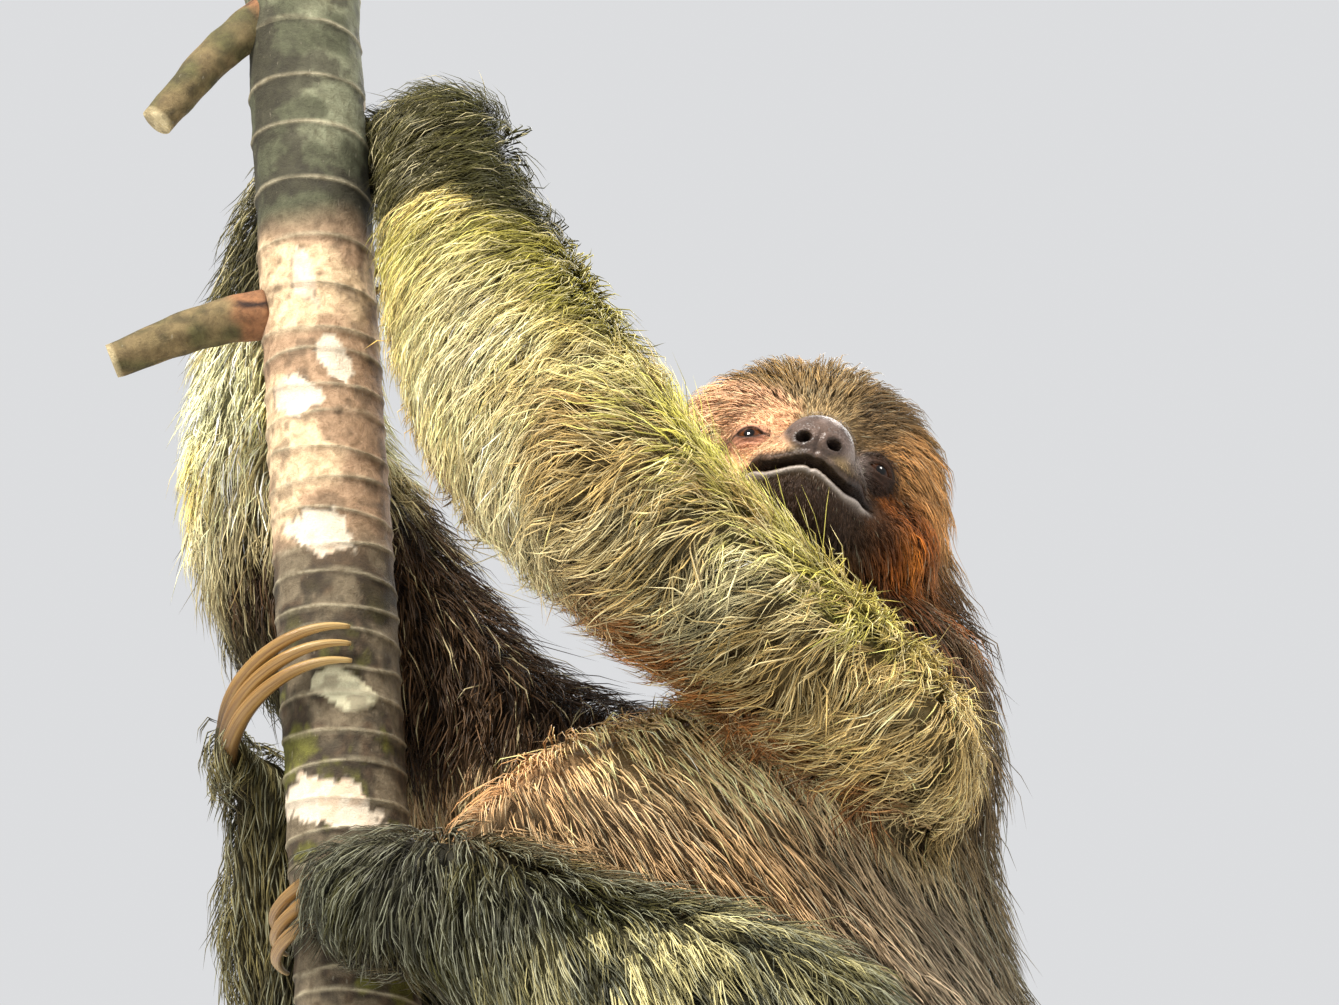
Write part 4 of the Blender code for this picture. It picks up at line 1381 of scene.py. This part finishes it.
def steel_shade():
    shade = Shade("stand_brushed_steel", 0.34, Metallic=1.0)
    brush = shade.noise(shade.place((1500.0, 1500.0, 9.0)), 1.0)
    colour = shade.blend(shade.span(brush, 0.3, 0.7), grey(0.42), (0.6, 0.6, 0.59))
    return shade.finish(colour, shade.span(brush, 0.3, 0.7, 0.26, 0.44), (brush, 0.15, 0.0002))


def floor_shade():
    shade = Shade("floor_pale", 0.8)
    tone = shade.span(shade.noise(shade.place(), 6.0), 0.3, 0.7)
    return shade.finish(shade.blend(tone, (0.74, 0.74, 0.73), (0.78, 0.78, 0.77)))


# --- Eyes and claws

PUPIL = 0.0019
IRIS = 0.0044
EYE_STACKS, EYE_AROUND = 40, 48
CLAW_STEPS = 26
CLAW_SIDES = 14
CLAW_OCHRE = srgb(156, 124, 70)
CLAW_DARK = srgb(66, 48, 26)
CLAW_PALE = srgb(212, 188, 132)


def build_eye(side):
    """An eyeball with a slight cornea, its colours running out from the pupil."""
    across, forward = eye_axes(side)
    angle = circle(EYE_AROUND)[:, None]
    ring = np.cos(angle) * across + np.sin(angle) * UP
    polar = (math.pi * (np.arange(EYE_STACKS) + 0.5) / EYE_STACKS)[::-1, None]
    radius = EYE_RADIUS * np.sin(polar)
    front = polar < math.pi / 2
    ahead = EYE_RADIUS * np.cos(polar) + 0.00045 * bell(radius, 0, IRIS, 4) * front
    rows = EYE_PLACE * (side, 1, 1) + radius[:, None] * ring + ahead[:, None] * forward
    mesh = grid_mesh("eye", from_head(rows))
    out = np.repeat(np.where(front, radius, 1.0), EYE_AROUND)
    paint = Paint(out, srgb(44, 32, 26))
    # the left eye's iris is darkened as painted shade
    paint.lay(srgb(88, 50, 26) * (1.0 if side < 0 else 0.35), ramp(IRIS + 0.0003, IRIS - 0.0002, out))
    paint.lay(srgb(40, 22, 12), ramp(0.0003, 0.0, np.abs(out - IRIS)))
    paint.lay(srgb(6, 5, 5), ramp(PUPIL + 0.0003, PUPIL - 0.0002, out))
    put_tint(mesh, paint.colour)
    return mesh


def build_claw(name, number):
    """One horn hook round the trunk, keeled above and flatter beneath, worn to a blunt point."""
    centres, outward, half, t = claw_line(name, number, CLAW_STEPS)
    along = unit(np.gradient(centres, axis=0))
    across = unit(np.cross(along, outward))
    deep = np.cross(across, along)
    turn = circle(CLAW_SIDES)
    sine = np.sin(turn)
    wide = np.cos(turn) * np.where(sine > 0.6, 0.8, 1.0)
    high = CLAW_DEPTH * sine * np.where(sine < 0, 0.82, 1.0)
    around = wide[None, :, None] * across[:, None] + high[None, :, None] * deep[:, None]
    mesh = grid_mesh(f"{name}_claw", centres[:, None] + half[:, None, None] * around)
    at = np.repeat(t, CLAW_SIDES)
    sine = np.tile(sine, CLAW_STEPS + 1)
    paint = Paint(at, CLAW_OCHRE)
    paint.lay(CLAW_DARK, 0.85 * ramp(0.32, 0.0, at))
    paint.lay(CLAW_PALE, 0.75 * ramp(0.55, 1.0, at))
    # painted shade: darker on the side that faces the bark
    paint.lay(CLAW_DARK, 0.55 * ramp(0.2, -0.8, sine))
    put_tint(mesh, paint.colour)
    cosine = np.tile(np.cos(turn), CLAW_STEPS + 1)
    put(mesh, "Grain", np.stack([at * 2.5, cosine * 5, sine * 5], axis=1) + 7 * number)
    return mesh


# --- The trunk and its stalks

TRUNK_AROUND = 112
BARK_GREEN = srgb(80, 82, 62)
BARK_LICHEN = srgb(122, 124, 100)
BARK_GREY = srgb(118, 106, 86)
BARK_BROWN = srgb(92, 76, 58)
BARK_PINK = srgb(184, 152, 122)
BARK_PEACH = srgb(222, 194, 158)
BARK_CREAM = srgb(224, 210, 188)
BARK_DARK = srgb(48, 42, 32)
BARK_RING = srgb(190, 180, 152)
BARK_MOSS = srgb(128, 130, 44)
BARK_SCAR = srgb(204, 200, 168)
# Peeled places: angle and height, half width and half height, and the seed of their ragged edges.
PEELED = (
    (-98, 0.4807, 0.013, 0.0078, 51),
    (-100, 0.572, 0.005, 0.011, 52),
    (-118, 0.53, 0.011, 0.0075, 54),
    (-74, 0.542, 0.006, 0.0075, 55),
    (-110, 0.389, 0.021, 0.0085, 56),
    (60, 0.3, 0.012, 0.012, 57),
    (130, 0.5, 0.014, 0.014, 58),
    (20, 0.64, 0.011, 0.009, 59),
    (-60, 0.23, 0.013, 0.01, 60),
)
SCAR = (-84, 0.4262, 0.0115, 0.0066, 61, 0.16)  # the same, and how ragged it is
STALK_AROUND = 40
# The stubs' stations, in millimetres: x, y, z and radius.
STALKS = {
    "perch_stalk_low": ((-136, -3, 565.5, 9.2), (-158, -4, 560, 7.8), (-188, -4, 547.5, 6.4)),
    "perch_stalk_high": ((-134, -4, 683, 9.2), (-156, -8, 662, 7.2), (-176, -12, 633, 6)),
}


def ring_heights():
    """Where leaves once grew: the rings lie closer together below 0.54 m."""
    rng = np.random.default_rng(19)
    heights = [TRUNK_LOW + 0.006]
    while heights[-1] < TRUNK_HIGH - 0.012:
        wide = lerp(0.0105, 0.0205, ramp(0.54, 0.59, heights[-1]))
        heights.append(heights[-1] + wide * (0.88 + 0.3 * rng.random()))
    return np.array(heights)


def patch_at(points, angle, where, height, half_width, half_height, seed, ragged=0.45):
    """1 inside a ragged patch of bark."""
    sideways = np.angle(np.exp(1j * (angle - math.radians(where)))) * TRUNK_RADIUS / half_width
    upward = (points[:, 2] - height) / half_height
    off = (np.abs(sideways) ** 1.6 + np.abs(upward + 0.35 * sideways) ** 1.6) ** (1 / 1.6)
    edge = patches(points, 0.006, seed) * 1.6 + patches(points, 0.0016, seed + 1) * 0.7
    return ramp(0.05, -0.05, off - 1 + ragged * edge)


def build_trunk():
    """The trunk's bark: thin raised rings where leaves once grew, peeled patches and scars."""
    rings = ring_heights()
    levels = [rings + d for d in (-0.0012, -0.0006, 0.0, 0.0005, 0.001)]
    levels += [np.arange(TRUNK_LOW, TRUNK_HIGH, 0.0015), [TRUNK_HIGH]]
    angle, height = np.meshgrid(circle(TRUNK_AROUND), np.unique(np.round(np.concatenate(levels), 4)))
    shape = angle.shape
    a, z = angle.ravel(), height.ravel()
    rough = np.stack([TRUNK_RADIUS * np.cos(a), TRUNK_RADIUS * np.sin(a), z], axis=1)
    # each ring sags a little to one side
    nearest = rings[np.abs(z[:, None] - rings).argmin(axis=1)]
    off = z - nearest + 0.0014 * np.sin(a + nearest * 311) + 0.0012 * patches(rough, 0.01, 41)
    ring = bell(off, 0, 0.00055)
    above = ramp(-0.0004, 0.0004, off) * ramp(0.009, 0.001, off)
    grain = patches(rough, 0.0035, 43)
    peeled = np.max([patch_at(rough, a, *patch) for patch in PEELED], axis=0)
    scar = patch_at(rough, a, *SCAR)
    radius = TRUNK_RADIUS - 0.0004 + 0.0004 * ring + 0.0003 * bell(off, 0, 0.0028)
    radius += 0.0009 * patches(rough, 0.013, 42) + 0.0004 * grain
    radius += 0.0002 * above - 0.0004 * peeled + 0.0008 * scar
    places = np.stack([trunk_x(z) + radius * np.cos(a), radius * np.sin(a), z], axis=1)
    mesh = grid_mesh("perch_bark", places.reshape(*shape, 3))
    put_tint(mesh, bark_colours(rough, off, ring, grain, peeled, scar))
    put(mesh, "Peeled", np.maximum(peeled, scar))
    return mesh


def bark_colours(points, off, ring, grain, peeled, scar):
    """Green and lichened at the top, pink where the sun falls, dark and mossy lower down."""
    z = points[:, 2]
    big = patches(points, 0.028, 44)
    mid = patches(points, 0.009, 45)
    spot = patches(points, 0.0022, 46)
    paint = Paint(points, BARK_GREY)
    paint.lay(BARK_BROWN, ramp(-0.08, 0.12, mid + 0.5 * grain))
    green = ramp(0.58, 0.596, z + 0.016 * big)
    top = Paint(points, BARK_GREEN)
    top.lay(BARK_LICHEN, ramp(0.0, 0.22, big + 0.7 * mid))
    paint.lay(top.colour, green)
    paint.lay(BARK_DARK, green * 0.7 * ramp(-0.02, 0.16, 0.9 * mid - 0.5 * big + 0.3 * spot))
    sunny = ramp(0.468, 0.486, z + 0.012 * big) * (1 - green)
    paint.lay(BARK_PINK, 0.85 * sunny)
    paint.lay(BARK_PEACH, sunny * ramp(-0.15, 0.11, big + mid))
    paint.lay(BARK_BROWN, sunny * 0.55 * ramp(0.08, 0.24, grain - 0.4 * mid))
    shaded = ramp(0.478, 0.452, z + 0.02 * big)
    paint.lay(BARK_DARK, 0.75 * shaded * ramp(-0.12, 0.12, mid + 0.4 * spot))
    paint.lay(BARK_MOSS, 0.45 * ramp(0.1, 0.26, mid + 0.3 * spot) * ramp(0.47, 0.42, z))
    paint.lay(BARK_CREAM * (0.92 + 0.4 * spot)[:, None], peeled)
    paint.lay(BARK_PINK, peeled * 0.55 * ramp(0.1, 0.25, mid + spot))
    paint.lay(BARK_DARK, 0.6 * ramp(0.05, 0.35, peeled) * ramp(0.95, 0.55, peeled))
    paint.lay(BARK_SCAR, scar)
    paint.lay(BARK_BROWN, scar * 0.5 * ramp(0.05, 0.2, grain + spot))
    paint.lay(BARK_RING, ring * 0.62 * (1 - 0.6 * peeled))
    # a dark line just under each raised ring: painted shade
    paint.lay(BARK_DARK, 0.32 * bell(off, -0.0014, 0.0007))
    return np.clip(paint.colour, 0.002, 1)


def build_stalk(stations):
    """A leaf stalk's stub, swollen and pitted where it leaves the trunk, cut clean at its end."""
    path = catmull_rom(mm(*stations), 14)
    along = unit(np.gradient(path[:, :3], axis=0))
    side = unit(np.cross(along, np.array([0.0, 1.0, 0.0])))
    turn = circle(STALK_AROUND)[:, None]
    rows = []
    for row, u, v in zip(path, side, np.cross(along, side)):
        flat = np.cos(turn) * u + np.sin(turn) * v
        bumps = patches(row[:3] + 0.008 * flat, 0.005, 71)
        rows.append(row[:3] + (row[3] - 0.0004 + 0.0008 * bumps)[:, None] * flat)
    mesh = grid_mesh("stalk", np.array(rows))
    points = np.concatenate(rows)
    at = np.repeat(np.linspace(0, 1, len(path)), STALK_AROUND)
    patch = patches(points, 0.006, 72)
    paint = Paint(points, srgb(120, 104, 72))
    paint.lay(srgb(88, 84, 52), ramp(-0.2, 0.3, patch))
    paint.lay(srgb(70, 64, 40), 0.7 * ramp(0.05, 0.3, patches(points, 0.003, 74)))
    paint.lay(srgb(140, 98, 66), ramp(0.3, 0.18, at + 0.16 * patch))
    paint.lay(srgb(40, 22, 16), ramp(0.66, 0.76, noise(points, 0.0032, 73)) * ramp(0.3, 0.18, at))
    paint.lay(srgb(206, 190, 150), at > 0.995)
    put_tint(mesh, paint.colour)
    put(mesh, "Peeled", np.zeros(len(points)))
    return mesh


# --- Camera, light and floor

CAMERA_PLACE = (0.0, -1.1931, 0.04)
CAMERA_LENS = 103.08  # on a sensor 36 mm wide
LOOK_UP = math.radians(21)
LIGHTS_AIM = Vector((0.0, 0.0, 0.45))
WARM = (1.0, 0.95, 0.88)
# Place, size, power and colour.
LIGHTS = {
    "key": ((-0.75, -1.1, 2.0), 0.4, 98.0, WARM),
    "fill": ((0.3, -1.6, -0.05), 1.2, 7.0, (0.95, 0.97, 1.0)),
    "rim": ((0.6, 1.5, 1.6), 1.0, 26.0, (1.0, 0.98, 0.94)),
    "side": ((1.02, -0.56, 1.49), 0.25, 10.0, WARM),
}


def add_camera():
    data = bpy.data.cameras.new("camera")
    data.sensor_width = 36
    data.lens = CAMERA_LENS
    camera = new_object("camera", data)
    camera.location = CAMERA_PLACE
    camera.rotation_euler = (math.radians(90) + LOOK_UP, 0, 0)
    bpy.context.scene.camera = camera


def add_lights():
    for name, (place, size, power, colour) in LIGHTS.items():
        data = bpy.data.lights.new(name, "AREA")
        data.size = size
        data.energy = power
        data.color = colour
        light = new_object(name, data)
        light.location = place
        light.rotation_euler = (LIGHTS_AIM - Vector(place)).to_track_quat("-Z", "Y").to_euler()
    world = bpy.data.worlds.new("studio")
    world.use_nodes = True
    background = world.node_tree.nodes["Background"].inputs
    background["Color"].default_value = (0.97, 0.98, 1.0, 1.0)
    background["Strength"].default_value = 0.74
    bpy.context.scene.world = world
    bpy.context.scene.view_settings.view_transform = "Standard"


def add_floor():
    bm = bmesh.new()
    bmesh.ops.create_grid(bm, x_segments=2, y_segments=2, size=4.0)
    mesh = bpy.data.meshes.new("floor")
    bm.to_mesh(mesh)
    bm.free()
    mesh.materials.append(floor_shade())
    new_object("floor", mesh)


# --- The scene


def dress(name, mesh, shade, node):
    """A finished piece that stands for a CAD node."""
    obj = new_object(name, mesh)
    mesh.materials.append(shade)
    mesh.shade_smooth()
    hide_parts(node)
    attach(obj, "root")


def dress_sloth(nodes):
    skin = build_skin()
    skin.data.materials.append(skin_shade())
    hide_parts(*[n for n in nodes if not any(word in n for word in ("claw", "eye", "perch", "stand"))])
    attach(skin, "root")
    add_coat(skin, coat_shade())
    eyes = eye_shade()
    for side, name in ((1, "eye_left"), (-1, "eye_right")):
        dress(f"ball_{name}", build_eye(side), eyes, name)
    horn = claw_shade()
    for name in CLAWS:
        for number in range(CLAW_COUNT):
            node = f"{name}_claw_{number + 1}"
            dress(f"horn_{name}_{number + 1}", build_claw(name, number), horn, node)


def dress_perch():
    bark = bark_shade()
    dress("bark_trunk", build_trunk(), bark, "perch_trunk")
    for name, stations in STALKS.items():
        dress(name.replace("perch", "bark"), build_stalk(stations), bark, name)


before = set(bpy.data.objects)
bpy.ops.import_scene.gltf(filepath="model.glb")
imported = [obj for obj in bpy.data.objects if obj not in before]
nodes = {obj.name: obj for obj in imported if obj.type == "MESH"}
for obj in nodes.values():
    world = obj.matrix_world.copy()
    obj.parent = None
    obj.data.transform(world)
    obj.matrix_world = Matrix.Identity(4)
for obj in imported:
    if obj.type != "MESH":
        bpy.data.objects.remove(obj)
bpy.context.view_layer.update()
add_camera()
add_floor()
add_lights()
dress_sloth(nodes)
dress_perch()
nodes["stand_base"].material_slots[0].material = wood_shade()
nodes["stand_rod"].material_slots[0].material = steel_shade()
